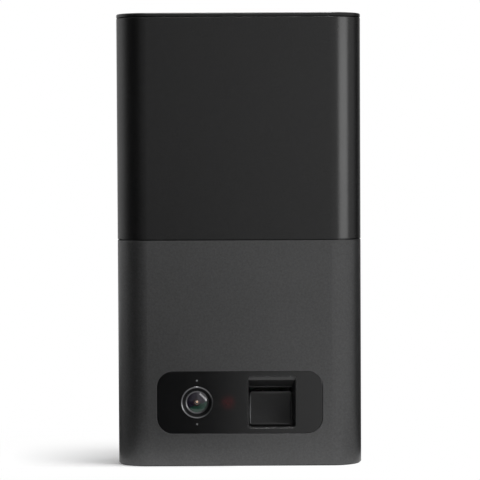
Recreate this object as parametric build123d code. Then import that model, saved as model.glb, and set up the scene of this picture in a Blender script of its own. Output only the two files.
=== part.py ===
from build123d import *
import os
from math import acos, cos, pi, radians, sin, sqrt, tan

# Treat tossing pet camera: a free-standing tower with a treat hopper on top,
# a vane feeder and a kicker below it, and a camera beside the treat port.
# Millimetres. +Z is up, the front faces -Y, the origin is under the centre of the base.

os.makedirs("parts", exist_ok=True)

# ---------------------------------------------------------------- casing
BODY_WIDTH = 145.0
BODY_DEPTH = 74.0
BODY_HEIGHT = 268.0
CORNER_RADIUS = 18.0
SHELL_WALL = 2.0
SHELL_BOTTOM = 1.0          # height of the shell's lower edge above the floor
SHELL_TOP = 134.0
SEAM_GAP = 0.4              # open line between the shell and the hopper
EDGE_ROUND = 0.35           # broken edges of the shell, the hopper and the panels

# ---------------------------------------------------------------- clearances
FIT_CLEARANCE = 0.05        # a shank, bush or running shaft in its hole, on the radius
SLIP_CLEARANCE = 0.2        # a part that drops into a pocket or a cut-out, each side
MOVING_CLEARANCE = 0.3      # faces of two bodies that move past each other
PANEL_CLEARANCE = 0.12      # the line round the window and the rear panel
PANEL_RECESS = 0.1          # how far the window and the rear panel lie below the shell

# ---------------------------------------------------------------- base
FOOT_THICKNESS = 1.2
FOOT_INSET = 7.0
FOOT_POCKET = 0.8
BASE_LIP_INSET = 0.8
BASE_LIP_BOTTOM = 0.4
BASE_TOP = 4.0
BASE_SCREW_SEAT = 2.6

# ---------------------------------------------------------------- window and camera
WINDOW_WIDTH = 98.0
WINDOW_HEIGHT = 37.0
WINDOW_RADIUS = 9.5
WINDOW_Z = 38.2
WINDOW_THICKNESS = 2.0
CHASSIS_THICKNESS = 2.5
CHASSIS_MARGIN = 4.0
CAMERA_X = -25.4
BEZEL_RADIUS = 9.4
BEZEL_LIP = 0.7
BEZEL_LIP_LEAN = 0.3        # how far the lip leans in towards the dish
BEZEL_FLANGE = 1.2          # how far the bezel's flange stands out behind the window
DISH_DEPTH = 1.2
LENS_RING_RADIUS = 6.8
LENS_RING_LEAN = 0.25       # how far the ring's front leans in towards the lens
LENS_RADIUS = 6.0
LENS_DOME = 1.1
LENS_HOLLOW = 0.7           # share of the lens's radius hollowed out behind
LENS_SEAT_SETBACK = 0.9     # from the lens's back up to the chassis's back face
BARREL_GAP = 3.0            # from the barrel's end to the camera board
BARREL_BORE = 0.72          # share of the lens's radius at the barrel's mouth
BARREL_STEP = 0.6
BARREL_WAIST = 0.4
MICROPHONE_OFFSET = 12.9
MICROPHONE_HOLE = 0.6
MICROPHONE_TUBE_RADIUS = 3.0
MICROPHONE_WIDTH = 3.6
MICROPHONE_HEIGHT = 2.8
MICROPHONE_DEPTH = 1.1
MICROPHONE_CLEARANCE = 0.1
EMITTER_X = -6.9
EMITTER_RADIUS = 2.5
EMITTER_BARREL = 1.0        # straight part behind the emitter's round nose
EMITTER_COLLAR = 0.4
CAMERA_BOARD_WIDTH = 44.0
CAMERA_BOARD_HEIGHT = 34.0
CAMERA_POST_LENGTH = 8.4
CAMERA_HOLDER_SIZE = 16.0
CAMERA_HOLDER_GAP = 0.8     # from the chassis to the lens holder
CAMERA_HOLDER_SHELF = 1.0   # ledge behind the lens barrel
SENSOR_WIDTH = 6.0
SENSOR_HEIGHT = 5.0
SENSOR_DEPTH = 0.9
BOARD_THICKNESS = 1.6
BOARD_SCREW_INSET = 3.0
BOARD_CORNER = 1.5
RIBBON_X = -36.0
RIBBON_WIDTH = 8.0
RIBBON_THICKNESS = 0.3
RIBBON_CAMERA_Z = 34.0
RIBBON_MAIN_Z = 42.0
RIBBON_SOCKET_MARGIN = 1.0
RIBBON_SOCKET_DEPTH = 3.0
RIBBON_SOCKET_HEIGHT = 1.5

# ---------------------------------------------------------------- treat port and guard flap
PORT_X = 18.95
PORT_WIDTH = 28.1
PORT_HEIGHT = 29.7
PORT_LIP = 0.5
PORT_CORNER = 1.6
PORT_FRAME_DEPTH = 10.6
PORT_FLANGE = 2.0
PORT_FLANGE_THICKNESS = 1.4
PORT_TOP_BEVEL = 1.8        # height of the bevel over the port
PORT_BEVEL_DEPTH = 1.15     # how far back that bevel leans
PORT_BOTTOM_DRAFT = 0.5
FLAP_OFFSET = -0.65         # the flap sits a little to the left of the port's centre
FLAP_WIDTH = 25.0
FLAP_HEIGHT = 20.1
FLAP_THICKNESS = 1.6
FLAP_CORNER = 1.8
FLAP_EDGE_ROUND = 0.3
FLAP_RIM = 0.4              # flat rim round the flap's scooped face
FLAP_DISH_DEPTH = 0.9
FLAP_DISH_SLOPE = 1.5       # run of the scoop's sloping walls
FLAP_DISH_CORNER = 0.4
FLAP_DISH_RADIUS = 140.0    # hollow of the scoop's floor
FLAP_RECESS = 4.9           # from the shell's front plane to the flap's face
FLAP_PIN_RADIUS = 1.0
FLAP_PIN_DROP = 1.8         # from the flap's upper edge down to its pin
FLAP_PIN_SETBACK = 4.0      # from the flap's face back to its pin
FLAP_STOP_WIDTH = 0.8
FLAP_BARREL_WALL = 1.0
FLAP_BARREL_INSET = 1.0     # from the flap's side in to its hinge barrel
FLAP_SPRING_GAP = 0.3       # from the pin to the spring's wire
FLAP_SPRING_TURNS = 4.25
FLAP_SPRING_LEG = 4.5

# ---------------------------------------------------------------- treat channel
CHANNEL_X = PORT_X + FLAP_OFFSET
CHANNEL_WIDTH = 26.0
CHANNEL_WALL = 2.0
SHAFT_RADIUS = 2.0
BUSH_RADIUS = 4.0
BUSH_FLANGE_RADIUS = 5.5
BUSH_FLANGE = 1.0
SHAFT_OVERHANG = 2.4
LEG_DEPTH = 7.0             # legs of the launch chamber, along Y

# ---------------------------------------------------------------- feeder
FEEDER_Y = 0.0
FEEDER_Z = 96.0
VANE_COUNT = 6
VANE_RADIUS = 21.6
VANE_THICKNESS = 1.6
VANE_ROOT = 5.2
VANE_TIP_ROUND = 0.64
HUB_RADIUS = 7.0
FEEDER_BORE_RADIUS = 22.2
FEEDER_WALL = 2.4
THROAT_DEPTH = 26.0
THROAT_CORNER = 2.0
DROP_FRONT_Y = -12.0
DROP_BACK_Y = 8.0
FEEDER_PLATE_WIDTH = 50.0
FEEDER_PLATE_CORNER = 4.0
FEEDER_BOSS_TURNS = (40, 140, 220, 320)
FEEDER_SPACERS = ((-14.0, 112.0), (17.5, 108.5), (17.5, 81.0))      # (y, z)

# ---------------------------------------------------------------- kicker
CHAMBER_SETBACK = 18.0      # room behind the chamber for the speaker and the main board
KICKER_SETBACK = 5.0        # from the chamber's back wall to the kicker's axis
KICKER_Z = 60.0
KICKER_REACH = 35.6
KICKER_THICKNESS = 2.2
KICKER_HUB_RADIUS = 4.4
KICKER_RIB_REACH = 0.6      # share of the kicker's reach that its ribs take
KICKER_CLEARANCE = 0.6
KICKER_SWING = 35.0
CHAMBER_CEILING_Z = 46.0
RAMP_LENGTH = 22.0          # from the ramp's crest back to the kicker's axis
REST_PAD_HEIGHT = 8.0
REST_PAD_WIDTH = 14.0
REST_PAD_Z = 34.0
CHAMBER_SPACER_ZS = (44.0, 39.0)            # front spacer, back spacer
CHAMBER_SPACER_INSET = 2.0
BOSS_OVERLAP = 0.8          # share of a boss's radius that stands out of the channel's wall

# ---------------------------------------------------------------- gears
GEAR_MODULE = 0.8
PRESSURE_ANGLE = 20.0
BACKLASH = 0.16             # taken off each tooth's thickness
ADDENDUM = 0.85             # in modules
DEDENDUM = 1.2              # in modules
FEEDER_GEAR_TEETH = 40
KICKER_GEAR_TEETH = 30
PINION_TEETH = 12
GEAR_WIDTH = 6.0
WEB_HOLE_RADIUS = 1.6
WEB_HOLE_CIRCLE = 9.6
WEB_RIM = 3.0               # from the pitch circle in to the web's recess
WEB_HUB = 1.5               # from the bush's radius out to the web's recess
GEAR_OUTLINE_STEPS = 4
GEAR_GAP = 2.0              # from a gear's face to the wall or the motor plate beside it
SPRING_LENGTH = 5.0         # kicker spring, first turn to last
SPRING_COIL_RADIUS = 3.6
SPRING_WIRE_RADIUS = 0.4
SPRING_TURNS = 4
SPRING_PEG_RISE = 9.0       # from the kicker's axis up to the spring's peg
SECTOR_MARGIN = 20.0        # degrees of teeth beyond the swing at each end

# ---------------------------------------------------------------- motors
MOTOR_PLATE_THICKNESS = 2.5
GEARBOX_RADIUS = 11.0
GEARBOX_LENGTH = 17.0
GEARBOX_BOSS_RADIUS = 4.5
GEARBOX_BOSS = 2.3
MOTOR_RADIUS = 10.0
MOTOR_LENGTH = 18.0
MOTOR_SCREW_OFFSET = 8.0
PINION_SHAFT_DEPTH = 11.0
MOTOR_END_ROUND = 1.5
MOTOR_BEARING = 1.2         # how far the rear bearing stands out
TERMINAL_LENGTH = 2.5
TERMINAL_WIDTH = 2.4
TERMINAL_THICKNESS = 0.6
TERMINAL_OFFSET = 6.5
SHAFT_END_CLEARANCE = 1.0   # round a shaft's end in the motor plate
SENSOR_BOARD = (9.0, 6.0, 0.8)      # position sensor's board: along Y, along Z, thickness
SENSOR_HEAD = (3.2, 2.4, 0.7)

# ---------------------------------------------------------------- screws
SCREW_RADIUS = 1.25
SCREW_HEAD_RADIUS = 2.2
SCREW_HEAD_HEIGHT = 1.4
SCREW_LENGTH = 7.0
BASE_SCREW_RADIUS = 1.5
BASE_SCREW_HEAD_RADIUS = 2.8
BASE_SCREW_HEAD_HEIGHT = 1.6
BASE_SCREW_LENGTH = 12.0
BOARD_SCREW_RADIUS = 1.0
BOARD_SCREW_HEAD_RADIUS = 1.8
BOARD_SCREW_HEAD_HEIGHT = 1.2
BOARD_SCREW_LENGTH = 6.0
BOSS_RADIUS = 3.0
SPACER_RADIUS = 3.5

# ---------------------------------------------------------------- rear panel
REAR_PANEL_WIDTH = 92.0
REAR_PANEL_HEIGHT = 76.0
REAR_PANEL_RADIUS = 9.5
REAR_PANEL_Z = 56.0
REAR_PANEL_WALL = 2.4
REAR_FLANGE = 6.0
REAR_FLANGE_THICKNESS = 2.0
MAIN_BOARD_X = -27.0
MAIN_BOARD_WIDTH = 42.0
MAIN_BOARD_HEIGHT = 72.0
MAIN_POST_LENGTH = 7.5
POST_RADIUS = 2.6
INLET_OFFSET = -3.0         # from the main board's centre line to the socket's
INLET_RISE = 10.0           # from the main board's lower edge up to the socket and the button
INLET_RADIUS = 4.6
INLET_BORE_RADIUS = 2.8
INLET_PIN_RADIUS = 1.0
INLET_SIZE = 11.0
INLET_WALL = 1.0
INLET_PIN_SETBACK = 1.0
RESET_OFFSET = 13.0
RESET_RADIUS = 2.2
RESET_FLANGE_RADIUS = 3.4
RESET_FLANGE = 1.0
RESET_STEM_RADIUS = 1.3
RESET_TRAVEL = 0.6
SWITCH_HEIGHT = 3.0
SWITCH_SIZE = 6.0
BOARD_BLOCKS = (            # (x, z) from the board's centre, width, height, thickness
    (-8.0, 22.0, 18.0, 16.0, 2.2),      # radio module
    (9.0, 20.0, 12.0, 12.0, 1.2),       # processor
    (9.0, 6.0, 9.0, 7.0, 1.0),          # memory
    (-6.0, 3.0, 7.0, 7.0, 3.0),         # coil
    (-12.0, -30.0, 7.0, 5.0, 4.5),      # feeder motor socket
    (-3.0, -30.0, 7.0, 5.0, 4.5),       # kicker motor socket
    (6.0, -30.0, 7.0, 5.0, 4.5),        # speaker socket
)
CAPACITOR_PLACES = ((6.0, -18.0), (14.0, -18.0))
CAPACITOR_RADIUS = 3.0
CAPACITOR_LENGTH = 6.0
SPEAKER_X = 28.0
SPEAKER_Z = 36.0
SPEAKER_RADIUS = 14.0
SPEAKER_DEPTH = 10.5
SPEAKER_RIM = 1.8           # width and thickness of the speaker's rim
CONE_DEPTH = 3.0
MAGNET_RADIUS = 9.5
MAGNET_DEPTH = 5.5
GASKET_THICKNESS = 1.0
GRILLE_HOLE_RADIUS = 0.8
GRILLE_PITCH = 3.1
GRILLE_RINGS = 3
MOUNT_SPACING = 60.0
MOUNT_Z = 80.0
INSERT_RADIUS = 2.8
INSERT_BORE_RADIUS = 1.65
INSERT_LENGTH = 6.0
INSERT_BOSS_WALL = 2.0

# ---------------------------------------------------------------- deck
DECK_BOTTOM = 129.5
DECK_TOP = 132.5
COLUMN_INSET_X = 12.5       # from the casing's side in to a column's centre
COLUMN_INSET_Y = 15.0
COLUMN_RADIUS = 4.0
SEAL_THICKNESS = 1.2
SEAL_GROOVE = 0.8
SEAL_WIDTH = 2.6

# ---------------------------------------------------------------- hopper
HOPPER_WALL = 2.4
HOPPER_FLOOR = 2.5
SPIGOT_WALL = 2.0
SPOUT_SIZE = 25.0
SPOUT_WALL = 2.0
FUNNEL_NECK_Z = 140.0
FUNNEL_RIM_Z = 188.0
FUNNEL_RIM_THICKNESS = 2.0
FUNNEL_MARGIN = 6.5         # from the casing's outline in to the funnel's outer wall
LEDGE_WIDTH = 4.0
LEDGE_HEIGHT = 3.0

# ---------------------------------------------------------------- lid and its release
LID_THICKNESS = 2.2
LID_GAP = 0.3
LID_EDGE_RADIUS = 0.8
LINER_DEPTH = 6.3
LINER_WALL = 2.0
LINER_CLEARANCE = 0.5
LID_SEAL_HEIGHT = 1.8
LID_SEAL_GROOVE = 1.0
BUTTON_WIDTH = 20.0
BUTTON_HEIGHT = 8.0
BUTTON_CORNER = 3.9
BUTTON_DROP = 21.0          # from the lid's top to the release button's centre
BUTTON_FLANGE = 1.3
BUTTON_FLANGE_MARGIN = 2.0
HOOK_THICKNESS = 1.6
HOOK_LIP = 1.0
HOOK_WIDTH = 10.0
CATCH_WIDTH = 12.0
CATCH_LIP = 1.1
CATCH_LIP_HEIGHT = 2.0
COVER_WALL = 1.6
COVER_WIDTH = 34.0
COVER_DEPTH = 13.0
COVER_DROP = 6.0            # from the hook down to the cover's underside
COVER_SLOT_MARGIN = 1.0
LATCH_SPRING_RADIUS = 2.2
LATCH_SPRING_X = 9.0
LATCH_SPRING_TURNS = 5
WIRE_RADIUS = 0.25

# ---------------------------------------------------------------- places worked out from the above
FRONT_Y = -BODY_DEPTH / 2
BACK_Y = BODY_DEPTH / 2
COLUMN_X = BODY_WIDTH / 2 - COLUMN_INSET_X
COLUMN_Y = BODY_DEPTH / 2 - COLUMN_INSET_Y
CHAMBER_BACK_Y = BACK_Y - CHAMBER_SETBACK
KICKER_Y = CHAMBER_BACK_Y - KICKER_SETBACK
RAMP_CREST_Y = KICKER_Y - RAMP_LENGTH
GLASS_Y = FRONT_Y + PANEL_RECESS
CHASSIS_FRONT_Y = GLASS_Y + WINDOW_THICKNESS
CHASSIS_BACK_Y = CHASSIS_FRONT_Y + CHASSIS_THICKNESS
CAMERA_BOARD_Y = CHASSIS_BACK_Y + CAMERA_POST_LENGTH
LENS_RING_FRONT_Y = FRONT_Y + DISH_DEPTH
LENS_SEAT_Y = CHASSIS_BACK_Y - LENS_SEAT_SETBACK
BARREL_BACK_Y = CAMERA_BOARD_Y - BARREL_GAP
PORT_BOTTOM = WINDOW_Z - PORT_HEIGHT / 2
PORT_TOP = WINDOW_Z + PORT_HEIGHT / 2
PORT_BACK_Y = GLASS_Y + PORT_FRAME_DEPTH
FLAP_FACE_Y = FRONT_Y + FLAP_RECESS
FLAP_BOTTOM = PORT_BOTTOM + PORT_BOTTOM_DRAFT + MOVING_CLEARANCE
FLAP_TOP = FLAP_BOTTOM + FLAP_HEIGHT
FLAP_PIN_Y = FLAP_FACE_Y + FLAP_PIN_SETBACK
FLAP_PIN_Z = FLAP_TOP - FLAP_PIN_DROP
FLAP_LEFT = CHANNEL_X - FLAP_WIDTH / 2
FLAP_RIGHT = CHANNEL_X + FLAP_WIDTH / 2
CHANNEL_LEFT = CHANNEL_X - CHANNEL_WIDTH / 2
CHANNEL_RIGHT = CHANNEL_X + CHANNEL_WIDTH / 2
WALL_LEFT = CHANNEL_LEFT - CHANNEL_WALL
WALL_RIGHT = CHANNEL_RIGHT + CHANNEL_WALL
GEAR_RIGHT = WALL_LEFT - GEAR_GAP
GEAR_LEFT = GEAR_RIGHT - GEAR_WIDTH
PLATE_RIGHT = GEAR_LEFT - GEAR_GAP
PLATE_LEFT = PLATE_RIGHT - MOTOR_PLATE_THICKNESS
FEEDER_MOTOR_Y = FEEDER_Y - GEAR_MODULE * (FEEDER_GEAR_TEETH + PINION_TEETH) / 2
KICKER_MOTOR_Y = KICKER_Y - GEAR_MODULE * (KICKER_GEAR_TEETH + PINION_TEETH) / 2
CHAMBER_FRONT_Y = PORT_BACK_Y
FRONT_LEG_Y = CHAMBER_FRONT_Y + CHANNEL_WALL + LEG_DEPTH / 2
BACK_LEG_Y = CHAMBER_BACK_Y + CHANNEL_WALL - LEG_DEPTH / 2
CHAMBER_SPACER_YS = (DROP_FRONT_Y - 2 * CHAMBER_SPACER_INSET, CHAMBER_BACK_Y - CHAMBER_SPACER_INSET)
CHAMBER_SPACERS = tuple(zip(CHAMBER_SPACER_YS, CHAMBER_SPACER_ZS))
FEEDER_FLOOR_Z = FEEDER_Z - FEEDER_BORE_RADIUS - FEEDER_WALL
KICKER_ARC_RADIUS = KICKER_REACH + KICKER_CLEARANCE
INLET_X = MAIN_BOARD_X + INLET_OFFSET
INLET_Z = REAR_PANEL_Z - MAIN_BOARD_HEIGHT / 2 + INLET_RISE
RESET_X = MAIN_BOARD_X + RESET_OFFSET
PANEL_FACE_Y = BACK_Y - PANEL_RECESS
PANEL_INNER_Y = PANEL_FACE_Y - REAR_PANEL_WALL
FLANGE_BACK_Y = BACK_Y - SHELL_WALL
FLANGE_FRONT_Y = FLANGE_BACK_Y - REAR_FLANGE_THICKNESS
MAIN_BOARD_BACK_Y = PANEL_INNER_Y - MAIN_POST_LENGTH
MAIN_BOARD_FRONT_Y = MAIN_BOARD_BACK_Y - BOARD_THICKNESS
INSERT_END_Y = PANEL_FACE_Y - INSERT_LENGTH
HOPPER_BOTTOM = SHELL_TOP + SEAM_GAP
LID_BOTTOM = BODY_HEIGHT - LID_THICKNESS
HOPPER_TOP = LID_BOTTOM - LID_GAP
LINER_BOTTOM = LID_BOTTOM - LINER_DEPTH
LINER_INSET = HOPPER_WALL + LINER_CLEARANCE
HOPPER_INNER_BACK_Y = BACK_Y - HOPPER_WALL
BUTTON_Z = BODY_HEIGHT - BUTTON_DROP
BUTTON_FLANGE_BACK_Y = HOPPER_INNER_BACK_Y - MOVING_CLEARANCE
BUTTON_FLANGE_FRONT_Y = BUTTON_FLANGE_BACK_Y - BUTTON_FLANGE
CATCH_BACK_Y = BACK_Y - LINER_INSET
CATCH_FRONT_Y = CATCH_BACK_Y - LINER_WALL
CATCH_BOTTOM = BUTTON_Z + BUTTON_HEIGHT / 2
HOOK_TIP_Y = CATCH_FRONT_Y - CATCH_LIP - MOVING_CLEARANCE
HOOK_BACK_Y = HOOK_TIP_Y - HOOK_LIP
HOOK_FRONT_Y = HOOK_BACK_Y - HOOK_THICKNESS
HOOK_BOTTOM = BUTTON_Z - BUTTON_HEIGHT / 2
COVER_INNER_Y = HOPPER_INNER_BACK_Y - COVER_DEPTH + COVER_WALL
SPIGOT_BOTTOM = DECK_TOP + MOVING_CLEARANCE
SPOUT_BOTTOM = DECK_TOP + SEAL_THICKNESS - SEAL_GROOVE + MOVING_CLEARANCE


# ---------------------------------------------------------------- shape helpers
def block(x_low, x_high, y_low, y_high, z_low, z_high):
    """Box between two corners."""
    centre = Pos((x_low + x_high) / 2, (y_low + y_high) / 2, (z_low + z_high) / 2)
    return centre * Box(x_high - x_low, y_high - y_low, z_high - z_low)


def casing_slab(inset, z_low, z_high):
    """Slab with the casing's outline, drawn in all round by inset."""
    outline = RectangleRounded(BODY_WIDTH - 2 * inset, BODY_DEPTH - 2 * inset, CORNER_RADIUS - inset)
    return extrude(Plane.XY.offset(z_low) * outline, amount=z_high - z_low)


def upright_plate(x, z, width, height, radius, y_front, y_back):
    """Plate that stands across Y, with rounded corners."""
    plane = Plane((x, y_back, z), x_dir=(1, 0, 0), z_dir=(0, -1, 0))
    return extrude(plane * RectangleRounded(width, height, radius), amount=y_back - y_front)


def rod_x(y, z, radius, x_low, x_high):
    plane = Plane((x_low, y, z), x_dir=(0, 1, 0), z_dir=(1, 0, 0))
    return extrude(plane * Circle(radius), amount=x_high - x_low)


def rod_y(x, z, radius, y_low, y_high):
    plane = Plane((x, y_high, z), x_dir=(1, 0, 0), z_dir=(0, -1, 0))
    return extrude(plane * Circle(radius), amount=y_high - y_low)


def rod_z(x, y, radius, z_low, z_high):
    return extrude(Pos(x, y, z_low) * Circle(radius), amount=z_high - z_low)


def profile_x(outline, x_low, x_high):
    """Outline drawn as (y, z), drawn out along X."""
    plane = Plane((x_low, 0, 0), x_dir=(0, 1, 0), z_dir=(1, 0, 0))
    return extrude(plane * outline, amount=x_high - x_low)


def turned_y(x, z, edges):
    """Solid turned about a line along Y, from edges drawn as (radius, y)."""
    axis = Axis((x, 0, z), (0, 1, 0))
    return revolve(Pos(x, 0, z) * make_face(edges), axis=axis, revolution_arc=360)


def ring_y(x, z, outer, inner, y_low, y_high):
    return rod_y(x, z, outer, y_low, y_high) - rod_y(x, z, inner, y_low, y_high)


def screw(seat, radius, head_radius, head_height, length):
    """Pan head screw with a hexagon socket; the seat's normal points into the work."""
    head = extrude(seat * Circle(head_radius), amount=-head_height)
    shank = extrude(seat * Circle(radius), amount=length)
    socket = extrude(seat.offset(-head_height) * RegularPolygon(head_radius / 2, 6), amount=head_height / 2)
    return head + shank - socket


def seat_facing(x, y, z, direction):
    return Plane((x, y, z), z_dir=direction)


def corners(width, height):
    """The four corners of a rectangle round the origin."""
    return [(side * width / 2, end * height / 2) for side in (-1, 1) for end in (-1, 1)]


def coil(place, radius, length, turns, wire_radius=WIRE_RADIUS, lefthand=False):
    """Coil of round wire along a plane's normal; it starts on the side of the plane's x direction."""
    path = Helix(pitch=length / turns, height=length, radius=radius, lefthand=lefthand)
    section = Plane(path @ 0, z_dir=path % 0) * Circle(wire_radius)
    return place.location * sweep(section, path=path, is_frenet=True)


def save(name, *shapes):
    """Write one sub-part; several shapes stay separate solids in one node."""
    solids = [solid for shape in shapes for solid in shape.solids()]
    export_step(Compound(solids) if len(solids) > 1 else solids[0], f"parts/{name}.step")


# ---------------------------------------------------------------- gear teeth
def flank_angle(teeth, radius):
    """Angle from a tooth's centre line to its involute flank at a radius."""
    pitch_radius = GEAR_MODULE * teeth / 2
    base_radius = pitch_radius * cos(radians(PRESSURE_ANGLE))
    half_tooth = pi / (2 * teeth) - BACKLASH / (2 * pitch_radius)
    pitch_roll = tan(radians(PRESSURE_ANGLE)) - radians(PRESSURE_ANGLE)
    local = acos(min(1.0, base_radius / radius))
    return half_tooth + pitch_roll - (tan(local) - local)


def gear_outline(teeth, centre_y, centre_z, phase):
    """Spur gear outline; phase is the direction of one tooth's centre, from +Y towards +Z."""
    pitch_radius = GEAR_MODULE * teeth / 2
    tip_radius = pitch_radius + ADDENDUM * GEAR_MODULE
    root_radius = pitch_radius - DEDENDUM * GEAR_MODULE
    rise = (tip_radius - root_radius) / GEAR_OUTLINE_STEPS
    radii = [root_radius + rise * step for step in range(GEAR_OUTLINE_STEPS + 1)]
    points = []
    for tooth in range(teeth):
        middle = phase + 2 * pi * tooth / teeth
        rising = [(radius, middle - flank_angle(teeth, radius)) for radius in radii]
        falling = [(radius, middle + flank_angle(teeth, radius)) for radius in reversed(radii)]
        for radius, angle in rising + falling:
            points.append((centre_y + radius * cos(angle), centre_z + radius * sin(angle)))
    return make_face(Polyline(*points, close=True))


# ---------------------------------------------------------------- base and shell
def column_places():
    return corners(2 * COLUMN_X, 2 * COLUMN_Y)


def base_screw_places():
    return column_places() + [(CHANNEL_X, FRONT_LEG_Y), (CHANNEL_X, BACK_LEG_Y)]


def make_foot_pad():
    pad = casing_slab(FOOT_INSET, 0, FOOT_THICKNESS)
    for x, y in base_screw_places():
        pad -= rod_z(x, y, BASE_SCREW_HEAD_RADIUS + 2 * SLIP_CLEARANCE, 0, FOOT_THICKNESS)
    return pad


def make_base_plate():
    plate = casing_slab(BASE_LIP_INSET, BASE_LIP_BOTTOM, SHELL_BOTTOM)
    plate += casing_slab(SHELL_WALL + SLIP_CLEARANCE, SHELL_BOTTOM, BASE_TOP)
    plate -= casing_slab(FOOT_INSET - SLIP_CLEARANCE, BASE_LIP_BOTTOM, BASE_LIP_BOTTOM + FOOT_POCKET)
    for x, y in base_screw_places():
        plate -= rod_z(x, y, BASE_SCREW_HEAD_RADIUS + SLIP_CLEARANCE, BASE_LIP_BOTTOM, BASE_SCREW_SEAT)
        plate -= rod_z(x, y, BASE_SCREW_RADIUS + FIT_CLEARANCE, BASE_SCREW_SEAT, BASE_TOP)
    return plate


def make_base_screws():
    seats = [seat_facing(x, y, BASE_SCREW_SEAT, (0, 0, 1)) for x, y in base_screw_places()]
    return [screw(seat, BASE_SCREW_RADIUS, BASE_SCREW_HEAD_RADIUS, BASE_SCREW_HEAD_HEIGHT,
                  BASE_SCREW_LENGTH) for seat in seats]


def rear_screw_places():
    spread_x = REAR_PANEL_WIDTH + REAR_FLANGE
    spread_z = REAR_PANEL_HEIGHT - 2 * REAR_PANEL_RADIUS
    return [(x, REAR_PANEL_Z + z) for x, z in corners(spread_x, spread_z)]


def make_body_shell():
    shell = casing_slab(0, SHELL_BOTTOM, SHELL_TOP)
    rims = shell.faces().sort_by(Axis.Z)
    shell = fillet(rims[0].edges() + rims[-1].edges(), EDGE_ROUND)
    shell -= casing_slab(SHELL_WALL, SHELL_BOTTOM, SHELL_TOP)
    shell -= upright_plate(0, WINDOW_Z, WINDOW_WIDTH + 2 * PANEL_CLEARANCE,
                           WINDOW_HEIGHT + 2 * PANEL_CLEARANCE, WINDOW_RADIUS + PANEL_CLEARANCE,
                           FRONT_Y, FRONT_Y + SHELL_WALL)
    shell -= upright_plate(0, REAR_PANEL_Z, REAR_PANEL_WIDTH + 2 * PANEL_CLEARANCE,
                           REAR_PANEL_HEIGHT + 2 * PANEL_CLEARANCE, REAR_PANEL_RADIUS + PANEL_CLEARANCE,
                           BACK_Y - SHELL_WALL, BACK_Y)
    for x, z in rear_screw_places():
        shell -= rear_screw_body(x, z, FIT_CLEARANCE)
    return shell


def rear_screw_body(x, z, grow):
    """Countersunk screw through the shell's rear wall, or its hole when grown."""
    head_depth = SCREW_HEAD_RADIUS - SCREW_RADIUS
    tip_y = BACK_Y - SHELL_WALL - REAR_FLANGE_THICKNESS
    outline = Polyline((0, BACK_Y), (SCREW_HEAD_RADIUS + grow, BACK_Y),
                       (SCREW_RADIUS + grow, BACK_Y - head_depth), (SCREW_RADIUS + grow, tip_y), (0, tip_y),
                       close=True)
    return turned_y(x, z, outline)


def make_rear_panel_screws():
    screws = []
    for x, z in rear_screw_places():
        socket_plane = Plane((x, BACK_Y, z), z_dir=(0, -1, 0))
        outline = socket_plane * RegularPolygon(SCREW_HEAD_RADIUS / 2, 6)
        socket = extrude(outline, amount=SCREW_HEAD_HEIGHT / 2)
        screws.append(rear_screw_body(x, z, 0) - socket)
    return screws


# ---------------------------------------------------------------- window and camera
def make_front_window():
    window = upright_plate(0, WINDOW_Z, WINDOW_WIDTH, WINDOW_HEIGHT, WINDOW_RADIUS, GLASS_Y, CHASSIS_FRONT_Y)
    window = chamfer(window.faces().sort_by(Axis.Y)[0].edges(), EDGE_ROUND / 2)
    window -= port_frame_plug(PANEL_CLEARANCE, GLASS_Y, CHASSIS_FRONT_Y)
    window -= rod_y(CAMERA_X, WINDOW_Z, BEZEL_RADIUS + FIT_CLEARANCE, GLASS_Y, CHASSIS_FRONT_Y)
    for side in (-1, 1):
        hole_z = WINDOW_Z + side * MICROPHONE_OFFSET
        window -= rod_y(CAMERA_X, hole_z, MICROPHONE_HOLE, GLASS_Y, CHASSIS_FRONT_Y)
    return window


def camera_post_places():
    spread_x = CAMERA_BOARD_WIDTH - 2 * BOARD_SCREW_INSET
    spread_z = CAMERA_BOARD_HEIGHT - 2 * BOARD_SCREW_INSET
    return [(CAMERA_X + x, WINDOW_Z + z) for x, z in corners(spread_x, spread_z)]


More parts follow.
